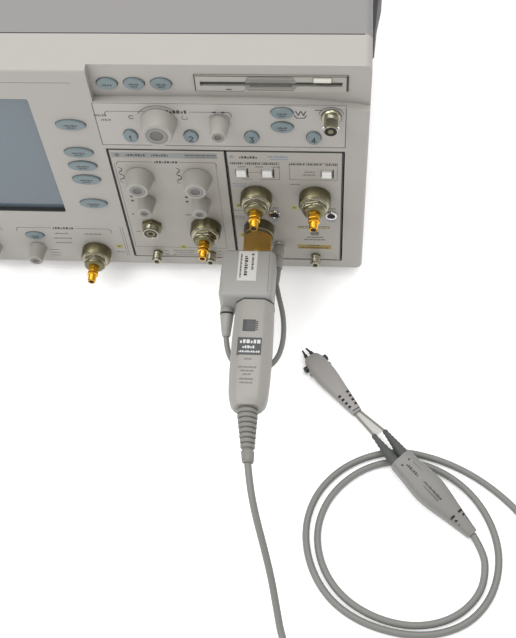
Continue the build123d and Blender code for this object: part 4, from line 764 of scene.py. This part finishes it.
# The finger scoop above and below the slot is painted a darker grey as the shade in its hollow; thin lines
# of the drive's own grey run along it.
UPPER_SCOOP = [(130.4, 201.6), (164.0, 201.6), (161.8, 205.9), (132.4, 205.9)]
LOWER_SCOOP = [(131.9, 193.6), (162.3, 193.6), (164.2, 197.4), (130.2, 197.4)]
for outline in (UPPER_SCOOP, LOWER_SCOOP):
    drive_trim.prism(DRIVE_FACE, outline, -0.05, 0.12, SCOOP_SHADE)
for x0, x1, z in ((132.6, 161.6, 204.4), (131.8, 162.6, 195.4)):
    stroke(drive_trim, DRIVE_FACE, [(x0, z), (x1, z)], 0.35, DRIVE, 0.2)
dash(drive_trim, DRIVE_FACE, 119.6, 194.6, 3.6, 0.9, INK, 0.08)
drive_trim.place_in("mainframe", "drive_plastic")
# The door's middle carries the same painted shade as the scoop round it.
door_middle = Piece("disk_door_middle")
door_front = on_face(0, 0, (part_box("disk_door")[0].y - FRONT_Y) / MM)
door_middle.box(door_front, 130.6, 163.8, 198.2, 200.6, -0.05, 0.1, SCOOP_SHADE)
stroke(door_middle, door_front, [(131.0, 199.6), (163.4, 199.6)], 0.3, DRIVE, 0.16)
door_middle.place_in("disk_door", "drive_plastic")

# ---------------- seam behind the bezel
SEAM_BACK, SEAM_FRONT = -35.4, -34.5
SIDE_X = CASE_WIDTH / 2
seam = Piece("cover_seam")
for x0, x1, z0, z1 in (
    (-SIDE_X + 5, SIDE_X - 5, CASE_HEIGHT - 0.4, CASE_HEIGHT + 0.05),
    (SIDE_X - 0.4, SIDE_X + 0.05, 5.0, CASE_HEIGHT - 5),
    (-SIDE_X - 0.05, -SIDE_X + 0.4, 5.0, CASE_HEIGHT - 5),
):
    seam.box(FACE, x0, x1, z0, z1, SEAM_BACK, SEAM_FRONT, GASKET_AND_GAP_SHADE)
seam.place_in("mainframe", "panel_black")

# ---------------- screen surround
SCREEN_LEFT, SCREEN_RIGHT = -178.0, -16.4
SCREEN_BOTTOM, SCREEN_TOP = 67.3, 188.9
GLASS_DEPTH = -3.48
surround = Piece("screen_gasket")
for x0, x1, z0, z1, height in (
    (SCREEN_LEFT, SCREEN_RIGHT, SCREEN_BOTTOM + 0.05, SCREEN_BOTTOM + 1.1, -0.25),
    (SCREEN_LEFT, SCREEN_RIGHT, SCREEN_TOP - 0.6, SCREEN_TOP - 0.05, -2.4),
    (SCREEN_LEFT + 0.05, SCREEN_LEFT + 0.6, SCREEN_BOTTOM, SCREEN_TOP, -2.4),
    (SCREEN_RIGHT - 0.6, SCREEN_RIGHT - 0.05, SCREEN_BOTTOM, SCREEN_TOP, -2.4),
):
    surround.box(FACE, x0, x1, z0, z1, GLASS_DEPTH, height, GASKET_AND_GAP_SHADE)
surround.place_in("mainframe", "panel_black")


# ---------------- connectors
def hexagon(piece, matrix, flats, low, high, look, bevel=0.5, turn=0.0):
    piece.prism(matrix, polygon(flats, 6, turn), low, high, look, bevel)


def thread(radius, low, high, pitch=0.9, depth=0.25):
    """A turned profile with rings that reads as a screw thread."""
    profile = [(radius - depth, low)]
    reach = low
    while reach + pitch <= high:
        profile += [(radius, reach + pitch * 0.3), (radius, reach + pitch * 0.55)]
        profile += [(radius - depth, reach + pitch)]
        reach += pitch
    return profile + [(radius - depth, high)]


def gold_tip(piece, matrix, start):
    """A saver's gold end: a small hexagon, a collar and a threaded tip with a hole."""
    hexagon(piece, matrix, 8.0, start, start + 5.2, GOLD, 0.5, 0.3)
    collar = [(3.7, 5.0), (4.2, 5.6), (4.2, 7.4), (3.4, 8.0)]
    tip = [*thread(3.17, 7.9, 13.4), (2.9, 13.9), (2.1, 13.95)]
    # The tip's bore is closed by a near-black disc of painted shade.
    hole = [(2.15, 12.0), (2.1, 13.97), (0.5, 13.98)]
    for profile, look in ((collar, GOLD), (tip, GOLD), (hole, DEEP_SHADE)):
        piece.lathe(matrix, [(radius, start + height) for radius, height in profile], look)


def saver(piece, x, z, turn):
    """A connector saver on an input: large nut, stepped nickel body, gold tip."""
    matrix = on_face(x, z)
    piece.lathe(matrix, [(11.2, 0.0), (11.75, 0.5), (11.75, 8.3), (10.9, 9.4), (9.0, 9.5)], DULL_NICKEL, 48)
    piece.lathe(matrix, [(10.6, 9.3), (10.1, 9.9), (10.1, 10.6), (9.3, 10.9)], NICKEL, 48)
    hexagon(piece, matrix, 16.2, 10.6, 14.0, NICKEL, 0.6, turn)
    piece.lathe(matrix, [(8.1, 13.6), (8.1, 15.2), (7.2, 16.4), (5.6, 17.0), (4.6, 17.0)], DULL_NICKEL, 40)
    gold_tip(piece, matrix, 16.9)


def power_post(piece, x, z):
    """A small threaded post with a socket in its end."""
    matrix = on_face(x, z)
    hexagon(piece, matrix, 7.0, 0.0, 1.8, DULL_NICKEL, 0.3, 0.2)
    piece.lathe(matrix, [*thread(3.9, 1.6, 8.6, 0.8, 0.2), (3.4, 9.3), (2.0, 9.4)], NICKEL, 32)
    # The socket in the post's end is a near-black disc of painted shade.
    piece.lathe(matrix, [(1.9, 8.4), (1.85, 9.45), (0.4, 9.46)], DEEP_SHADE, 24)


def probe_jack(piece, x, z):
    matrix = on_face(x, z)
    piece.lathe(matrix, [(4.6, 0.0), (4.6, 1.0), (4.2, 1.55), (3.1, 1.6), (2.95, 1.2)], CHROME, 40)
    # The jack's bore is a near-black disc of painted shade.
    piece.lathe(matrix, [(3.0, 0.2), (3.0, 1.3), (0.5, 1.32)], DEEP_SHADE, 32)


panel_set = Piece("panel_sockets")
saver(panel_set, *TRIGGER_INPUT, 0.35)
bnc = on_face(*CALIBRATOR)
BNC_BARREL = [*thread(4.8, 2.6, 6.2, 0.9, 0.2), (4.75, 6.6), (4.75, 13.2), (4.3, 13.7), (3.7, 13.7)]
panel_set.lathe(bnc, [(6.6, 0.0), (7.0, 0.3), (7.0, 1.4), (6.3, 2.4), (4.8, 2.5)], NICKEL)
panel_set.lathe(bnc, [(4.8, 2.3), *BNC_BARREL], NICKEL)
for side in (-1, 1):
    lug_foot = place(CALIBRATOR[0] + side * 4.4, -10.2, CALIBRATOR[1])
    lug = across(lug_foot, Vector((side, 0, 0)), Vector((0, 1, 0)))
    panel_set.lathe(lug, [(1.1, 0.0), (1.1, 1.0), (0.8, 1.3)], CHROME, 20)
# The inside of the barrel is a near-black disc of painted shade, round a nickel pin.
panel_set.lathe(bnc, [(4.2, 12.0), (4.15, 13.72), (2.0, 13.74)], DEEP_SHADE, 32)
panel_set.lathe(bnc, [(1.9, 12.0), (1.9, 13.76), (1.0, 13.8)], DULL_NICKEL, 24)
panel_set.place_in("mainframe", "nickel", "panel_connectors")

left_set = Piece("left_module_sockets")
saver(left_set, *CHANNEL_2_INPUT, 0.1)
bare = on_face(*CHANNEL_1_INPUT)
hexagon(left_set, bare, 14.6, 0.0, 3.5, DULL_NICKEL, 0.5, 0.4)
left_set.lathe(bare, [*thread(6.4, 3.3, 7.9, 1.0, 0.25), (6.1, 8.45), (5.2, 8.5), (5.0, 8.0)], NICKEL, 48)
left_set.lathe(bare, [(5.05, 6.0), (5.0, 8.1), (3.0, 8.12)], BLACK)
left_set.lathe(bare, [(3.3, 6.0), (3.3, 8.3), (2.3, 8.35)], DULL_NICKEL, 32)
# The bore's centre is a near-black disc of painted shade.
left_set.lathe(bare, [(1.9, 6.0), (1.9, 8.38), (0.4, 8.4)], DEEP_SHADE, 24)
for x in (48.3, 91.8):
    power_post(left_set, x, POST_Z)
left_set.place_in("left_module", "nickel", "left_module_connectors")

right_set = Piece("right_module_sockets")
saver(right_set, *CHANNEL_3_INPUT, 0.5)
saver(right_set, *CHANNEL_4_INPUT, 0.25)
power_post(right_set, 175.7, POST_Z)
for x, z in JACKS:
    probe_jack(right_set, x, z)
collar = on_face(*ADAPTER_INPUT)
right_set.lathe(collar, [(4.6, 0.0), (4.6, 1.0), (4.3, 1.5), (3.1, 1.55)], CHROME)
probed = on_face(*PROBED_INPUT)
right_set.lathe(probed, [(11.2, 0.0), (11.75, 0.5), (11.75, 8.6), (11.0, 9.5), (9.0, 9.6)], DULL_NICKEL, 48)
right_set.lathe(probed, [(9.4, 9.4), (9.4, 12.0)], CHROME)
right_set.prism(probed, polygon(20.5, 6, pi / 6), 11.6, ADAPTER_BACK - 0.1, BRASS, 0.8)
right_set.lathe(probed, [(9.0, 11.0), (10.5, 11.4), (10.5, 11.7)], GOLD)
right_set.place_in("right_module", "nickel", "right_module_connectors")

# ---------------- rear ports
REAR_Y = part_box("circuit_boards")[1].y
PORT_SIZES = ((-150, 14, 12), (-122, 30, 12), (-80, 40, 11), (-30, 36, 11), (10, 16, 14), (38, 16, 14))
BOARD_TOP = 13.6
ports = Piece("rear_ports")
for x, width, height in PORT_SIZES:
    half, tall = width / 2, height / 2
    port_middle = place(x, (REAR_Y - FRONT_Y) / MM, BOARD_TOP + tall)
    back = across(port_middle, Vector((0, 1, 0)), Vector((-1, 0, 0)))
    ports.box(back, -half - 0.1, half + 0.1, -tall - 0.1, tall + 0.1, -2.0, 0.3, CHROME, 0.2)
    # The inside of each socket is painted near-black shade, round a black insert.
    ports.box(back, -half + 0.9, half - 0.9, -tall + 0.9, tall - 0.9, 0.2, 0.36, DEEP_SHADE)
    ports.box(back, -half + 2.6, half - 2.6, -tall + 3.6, tall - 3.6, 0.3, 0.6, BLACK, 0.15)
ports.place_in("mainframe", "panel_black")

# ---------------- probe adapter and pod
ADAPTER_X, ADAPTER_WIDTH = 127.6, 40.0
ADAPTER_Z, ADAPTER_HEIGHT = 52.25, 27.5
POD_X, POD_Z = 134.4, 52.0
POD_SECTIONS = [
    (0.0, 27.5, 23.5),
    (12.0, 28.4, 24.0),
    (42.0, 29.0, 25.0),
    (72.0, 27.4, 23.0),
    (81.0, 24.6, 20.0),
    (84.5, 19.5, 17.0),
]


def eased(outline, corner):
    """An outline with each corner cut back by a short distance along both its sides."""
    points = []
    for k, here in enumerate(outline):
        for other in (outline[k - 1], outline[(k + 1) % len(outline)]):
            away = (Vector(other) - Vector(here)).normalized() * corner
            points.append((here[0] + away.x, here[1] + away.y))
    return points


def chamfered(width, height, cut):
    """An upright rectangle with its four corners cut off and each cut's ends eased."""
    x, y = width / 2, height / 2
    corners = [(x, cut - y), (x, y - cut), (x - cut, y), (cut - x, y)]
    corners += [(-x, y - cut), (-x, cut - y), (cut - x, -y), (x - cut, -y)]
    return eased(corners, 0.8)


def skin(piece, spine, sections, look, level=None):
    """Joins outlines along a straight spine: sections are (distance in mm, outline)."""
    start, ahead = spine
    loops = []
    for distance, outline in sections:
        matrix = across(start + ahead * distance * MM, ahead, level)
        loops.append([matrix @ Vector((x * MM, y * MM, 0)) for x, y in outline])
    piece.rings(loops, look)


OUT = Vector((0, -1, 0))
LEVEL = Vector((1, 0, 0))
UP = Vector((0, 0, 1))
adapter = Piece("adapter_body")
reach = ADAPTER_FRONT - ADAPTER_BACK
ends = [(0.0, 3.0), (0.6, 1.4), (1.8, 0.4), (3.0, 0.0)]
ends += [(reach - 4.0, 0.0), (reach - 2.2, 0.5), (reach - 0.8, 1.7), (reach, 3.4)]
adapter_sections = []
for distance, pull in ends:
    outline = rounded(ADAPTER_WIDTH - 2 * pull, ADAPTER_HEIGHT - 1.6 * pull, 4.6 - 0.3 * pull)
    adapter_sections.append((distance, outline))
skin(adapter, (place(ADAPTER_X, -ADAPTER_BACK, ADAPTER_Z), OUT), adapter_sections, ADAPTER, LEVEL)
sleeve_start, sleeve_end = place(113.0, -65.0, 47.2), place(113.0, -75.5, 45.6)
sleeve = across(sleeve_start, sleeve_end - sleeve_start, LEVEL)
adapter.lathe(sleeve, [(4.6, 0.0), (5.1, 1.0), (5.1, 10.0), (4.6, 10.6)], ADAPTER, 36)
adapter.lathe(sleeve, [(5.0, 10.4), (5.25, 10.5), (5.25, 11.0), (4.9, 11.1)], LABEL_DARK, 36)
boot_start, boot_end = place(113.0, -76.0, 45.5), place(113.4, -92.4, 41.0)
boot_length = (boot_end - boot_start).length / MM
boot_profile = [(4.7, 0.0), (5.0, 0.5), (4.6, 5.0), (3.2, boot_length - 1.0), (2.6, boot_length)]
adapter.lathe(across(boot_start, boot_end - boot_start, LEVEL), boot_profile, ADAPTER, 36)
TOP = across(place(ADAPTER_X, 0, ADAPTER_Z + ADAPTER_HEIGHT / 2), UP, LEVEL)
adapter.box(TOP, -7.2, 6.8, -59.0, -32.6, -0.1, 0.12, LABEL_WHITE)
SIDEWAYS = TOP @ Matrix.Rotation(-pi / 2, 4, "Z")
for row in ((43.5, 3.6, 12.0, 1.6), (46.0, -1.2, 18.0, 2.4), (45.5, -5.0, 21.0, 1.3)):
    word(adapter, SIDEWAYS, *row, INK, 0.16)
disc(adapter, TOP, 3.4, -35.4, 1.1, PALE_INK, 0.16)
stroke(adapter, TOP, [(15.6, -34.0), (15.9, -68.0)], 0.3, PALE_INK, 0.06)
adapter.place_in("right_module", "adapter_plastic", "adapter_housing")

pod = Piece("pod_body")
pod_start = place(POD_X, -ADAPTER_FRONT, POD_Z)
pod_rows = smooth_steps(POD_SECTIONS, 36)
pod_outlines = [(s, chamfered(w, h, 0.26 * min(w, h))) for s, w, h in pod_rows]
skin(pod, (pod_start, OUT), pod_outlines, POD, LEVEL)
skin(pod, (pod_start, OUT), [(s, chamfered(28.1, 24.1, 6.3)) for s in (0.1, 1.1)], LABEL_DARK, LEVEL)


def pod_top(distance):
    """A frame on the pod's top at a distance from the adapter, x to the right and y towards the case."""
    nearest = min(pod_rows, key=lambda row: abs(row[0] - distance))
    return across(place(POD_X, -ADAPTER_FRONT - distance, POD_Z + nearest[2] / 2), UP, LEVEL)


pod.box(pod_top(23.8), -6.9, 2.3, -5.0, 5.0, -0.4, 0.12, LABEL_DARK)
label = pod_top(40.8)
pod.box(label, -9.4, 7.6, -7.1, 6.9, -0.4, 0.12, LABEL_DARK)
for row in ((-0.9, 3.6, 13.5, 3.0), (-0.9, -0.9, 9.5, 2.2), (-0.9, -4.6, 14.5, 1.5)):
    word(pod, label, *row, WHITE_INK, 0.16)
for distance, length, height in ((51.2, 5.6, 1.1), (57.6, 13.0, 1.3), (60.4, 10.0, 1.3), (63.2, 6.0, 1.2),
                                 (66.8, 10.0, 1.2), (69.6, 9.0, 1.2)):
    word(pod, pod_top(distance), -1.2, 0.0, length, height, PALE_INK, 0.1)
relief_start = place(POD_X, -ADAPTER_FRONT - 84.0, POD_Z - 0.5)
relief_end = place(*RELIEF_TIP)
relief_length = (relief_end - relief_start).length / MM
RELIEF_RINGS = 8
RING_PITCH = 3.55
profile = [(6.2, 0.0)]
for ring in range(RELIEF_RINGS):
    start = 1.0 + RING_PITCH * ring
    outer = 7.5 - 0.34 * ring
    profile += [(outer - 0.5, start), (outer, start + 0.5), (outer - 0.1, start + 2.3)]
    profile += [(outer - 0.5, start + 2.75), (outer - 1.5, start + 2.85), (outer - 1.6, start + 3.45)]
profile += [(4.6, 31.0), (4.2, relief_length - 1.6), (3.9, relief_length - 1.4), (3.9, relief_length - 0.3)]
profile += [(3.3, relief_length)]
pod.lathe(across(relief_start, relief_end - relief_start, LEVEL), profile, RELIEF)
pod.place_in("right_module", "adapter_plastic", "pod_housing")

plug = Piece("adapter_plug_body")
plug_face = on_face(*ADAPTER_INPUT)
plug.lathe(plug_face, [(3.0, 0.5), (4.9, 1.6), (5.2, 2.0), (5.2, 3.6), (4.5, 3.8)], CHROME)
plug.lathe(plug_face, [(4.5, 3.6), (5.0, 4.0), (5.1, 10.6), (4.4, 11.6), (4.3, 12.2)], ADAPTER)
plug.lathe(plug_face, [(4.2, 12.0), (4.35, 12.4), (4.35, 22.6), (3.8, 23.6), (3.4, 23.7)], ADAPTER)
plug.lathe(plug_face, [(3.2, 23.5), (3.4, 24.0), (3.3, 28.0), (2.7, 35.8), (2.2, 36.5)], RELIEF, 36)
plug_piece = plug.place_in("right_module", "adapter_plastic", "adapter_plug")

# ---------------- probe on the bench
AMPLIFIER_START = (241.8, -166.8, 1.8)
HEAD_START = (211.4, -126.4, -7.4)
HEAD_NOSE = (174.4, -79.4, -7.4)
LEAD_TIPS = ((223.5, -146.4, -3.5), (231.5, -142.5, -3.5))


def top_frame(start, end, share, lift):
    """A frame lying on a body's upper side: x along the body, y across it and z upwards."""
    ahead = (end - start).normalized()
    side = UP.cross(ahead).normalized()
    up = ahead.cross(side)
    spot = start + (end - start) * share + up * lift * MM
    return Matrix((
        (ahead.x, side.x, up.x, spot.x),
        (ahead.y, side.y, up.y, spot.y),
        (ahead.z, side.z, up.z, spot.z),
        (0, 0, 0, 1),
    ))


def soft_body(piece, start, end, rows, look, power=3.4):
    """A soft-cornered body through (share, width, height) rows, smooth along its length."""
    length = (end - start).length / MM
    sections = [(s * length, superellipse(w, h, power)) for s, w, h in smooth_steps(rows, 32)]
    skin(piece, (start, (end - start).normalized()), sections, look)
    return length


amp_start, amp_end = place(*AMPLIFIER_START), place(*AMPLIFIER_TIP)
amplifier = Piece("amplifier_body")
AMP_ROWS = [
    (0.0, 16.6, 13.0),
    (0.02, 17.6, 13.8),
    (0.15, 18.9, 15.0),
    (0.4, 22.0, 15.0),
    (0.55, 19.4, 14.2),
    (0.72, 14.6, 12.0),
    (0.97, 8.2, 8.4),
    (1.0, 7.4, 7.6),
]
soft_body(amplifier, amp_start, amp_end, AMP_ROWS, PROBE)
# Vent slots in the top, lined with near-black painted shade.
for row in range(4):
    for side in (-1, 1):
        frame_here = top_frame(amp_start, amp_end, 0.765 + 0.045 * row, 5.75 - 0.55 * row)
        reach = side * (3.4 - 0.45 * row)
        amplifier.box(frame_here, -0.75, 0.75, reach - 1.5, reach + 1.5, -1.6, 0.05, DEEP_SHADE)
        amplifier.box(frame_here, -0.75, 0.75, reach * 1.4 - 0.8, reach * 1.4 + 0.8, -3.2, -0.9, DEEP_SHADE)
marks = top_frame(amp_start, amp_end, 0.3, 7.35)
word(amplifier, marks, -8.0, -1.5, 12.0, 2.0, INK, 0.22)
word(amplifier, marks, 11.0, -1.2, 17.0, 1.5, INK, 0.2)
word(amplifier, marks, 12.0, -3.6, 14.0, 1.2, PALE_INK, 0.2)
stroke(amplifier, marks, [(-12.5, 3.2), (-3.5, 3.6)], 0.5, PALE_INK, 0.2)
for reach in (-4.2, 2.4):
    disc(amplifier, top_frame(amp_start, amp_end, 0.08, 7.2), 0.0, reach, 0.8, INK, 0.15)
amplifier_piece = amplifier.place_in("right_module", "adapter_plastic", "probe_amplifier")

head_back, head_nose = place(*HEAD_START), place(*HEAD_NOSE)
head = Piece("probe_head_body")
HEAD_ROWS = [
    (0.0, 7.4, 6.0),
    (0.03, 8.2, 6.6),
    (0.35, 13.0, 8.0),
    (0.66, 17.2, 8.5),
    (0.86, 16.4, 8.4),
    (0.96, 13.6, 7.6),
    (1.0, 10.0, 6.0),
]
# The head uses the lighter copy of the probe's plastic: painted light.
head_length = soft_body(head, head_back, head_nose, HEAD_ROWS, PROBE_HEAD_PAINTED_LIGHT, 3.2)
# Vent slots and a slit at the back, lined with near-black painted shade.
for row in range(4):
    for side in (-1, 1):
        frame_here = top_frame(head_back, head_nose, 0.1 + 0.062 * row, 3.35 + 0.18 * row)
        reach = side * (2.6 + 0.35 * row)
        head.box(frame_here, -0.8, 0.8, reach - 1.1, reach + 1.1, -1.2, 0.1, DEEP_SHADE)
dash(head, top_frame(head_back, head_nose, 0.03, 3.3), 0.0, 0.0, 0.7, 5.6, DEEP_SHADE, 0.08)
head_matrix = across(head_back, head_nose - head_back)
WHEELS = ((0.88, 7.6, 2.6, 3.0, BLACK), (0.78, 8.0, 1.3, 1.8, PROBE_HEAD_PAINTED_LIGHT))
for side in (-1, 1):
    for share, reach, radius, width, look in WHEELS:
        spot = head_matrix @ Vector((side * reach * MM, 0.6 * MM, share * head_length * MM))
        outwards = head_matrix.to_3x3() @ Vector((side, 0, 0))
        wheel = across(spot, outwards, head_matrix.to_3x3() @ UP)
        rim = [(radius * 0.8, 0.0), (radius, 0.3), (radius, width - 0.4), (radius * 0.7, width)]
        head.lathe(wheel, rim, look, 20)
head_piece = head.place_in("right_module", "adapter_plastic", "probe_head")

pins = Piece("probe_pins")
PIN_PROFILE = [(1.5, 0.0), (1.45, 4.5), (0.9, 5.0), (0.75, 9.0), (0.3, 9.6)]
for side in (-1, 1):
    root = head_matrix @ Vector((side * 3.1 * MM, 0, (head_length - 1.0) * MM))
    tip = head_matrix @ Vector((side * 1.7 * MM, 0, (head_length + 8.6) * MM))
    pins.lathe(across(root, tip - root), PIN_PROFILE, BLACK, 16)
pins.place_in("right_module", "panel_black", "probe_head")

leads = Piece("probe_lead_set")
amp_matrix = across(amp_start, amp_start - amp_end)
ribbon_edge = []
for tip, side in zip(LEAD_TIPS, (-1, 1)):
    root = amp_start + (amp_matrix.to_3x3() @ Vector((side * 4.3 * MM, 0, -1.0 * MM)))
    end = place(*tip)
    reach = (end - root).length / MM
    profile = [(4.0, 0.0), (4.2, 0.6)]
    for ring in range(6):
        start = reach * (0.12 + 0.13 * ring)
        outer = 4.1 - 0.36 * ring
        profile += [(outer, start), (outer, start + 1.6)]
        profile += [(outer - 0.5, start + 1.8), (outer - 0.5, start + 2.4)]
    profile += [(2.1, reach - 1.2), (1.7, reach)]
    leads.lathe(across(root, end - root), profile, BOOT, 28)
    back = head_matrix @ Vector((side * 2.3 * MM, 0, 0.4 * MM))
    leads.lathe(across(end, back - end), [(1.0, -0.5), (1.0, (back - end).length / MM)], RELIEF, 16)
    ribbon_edge.append((end, back))
(first_end, first_back), (second_end, second_back) = ribbon_edge
lift = Vector((0, 0, 0.25 * MM))
ribbon_loops = []
for share in (0.0, 0.33, 0.66, 1.0):
    a = first_end.lerp(first_back, share)
    b = second_end.lerp(second_back, share)
    ribbon_loops.append([a + lift, b + lift, b - lift, a - lift])
leads.rings(ribbon_loops, RIBBON)
leads_piece = leads.place_in("right_module", "boot_rubber", "probe_leads")

# ---------------- stage
FLOOR_REACH = 4.0
FLOOR_GLOW = 0.22
floor_mesh = bpy.data.meshes.new("floor")
corners = [(x * FLOOR_REACH, y * FLOOR_REACH, 0) for x, y in ((-1, -1), (1, -1), (1, 1), (-1, 1))]
floor_mesh.from_pydata(corners, [], [(0, 1, 2, 3)])
floor = show("floor", floor_mesh)
floor_white = finish("floor_white", (250, 250, 250), 0.8, grain=4.0, bump=0.0, mottle=0.003)
floor_white.node_tree.nodes["Principled BSDF"].inputs["Emission Strength"].default_value = FLOOR_GLOW
floor.data.materials.append(floor_white)

world = bpy.data.worlds.new("studio")
bpy.context.scene.world = world
world.use_nodes = True
world.node_tree.nodes["Background"].inputs["Color"].default_value = (1, 1, 1, 1)
world.node_tree.nodes["Background"].inputs["Strength"].default_value = 0.75


def soft_light(name, spot, aim, size, power):
    """A rectangular lamp at spot, in metres, turned towards aim."""
    data = bpy.data.lights.new(name, "AREA")
    data.shape = "RECTANGLE"
    data.size, data.size_y = size
    data.energy = power
    lamp = show(name, data)
    lamp.location = spot
    lamp.rotation_euler = (Vector(aim) - Vector(spot)).to_track_quat("-Z", "Y").to_euler()


soft_light("key", (-0.9, -0.8, 1.7), (0.1, -0.2, 0.1), (1.2, 1.2), 19)
soft_light("top", (0.3, 0.3, 2.0), (0.0, 0.0, 0.2), (1.6, 1.6), 26)

camera_data = bpy.data.cameras.new("camera")
camera_data.lens = 56.43
camera_data.sensor_width = 36.0
camera_data.clip_start = 0.02
camera = show("camera", camera_data)
camera.location = place(196.07, -468.22, 668.49)
camera.rotation_euler = (radians(32.165), radians(3.1056), radians(3.8052))
bpy.context.scene.camera = camera
bpy.context.scene.view_settings.view_transform = "Standard"
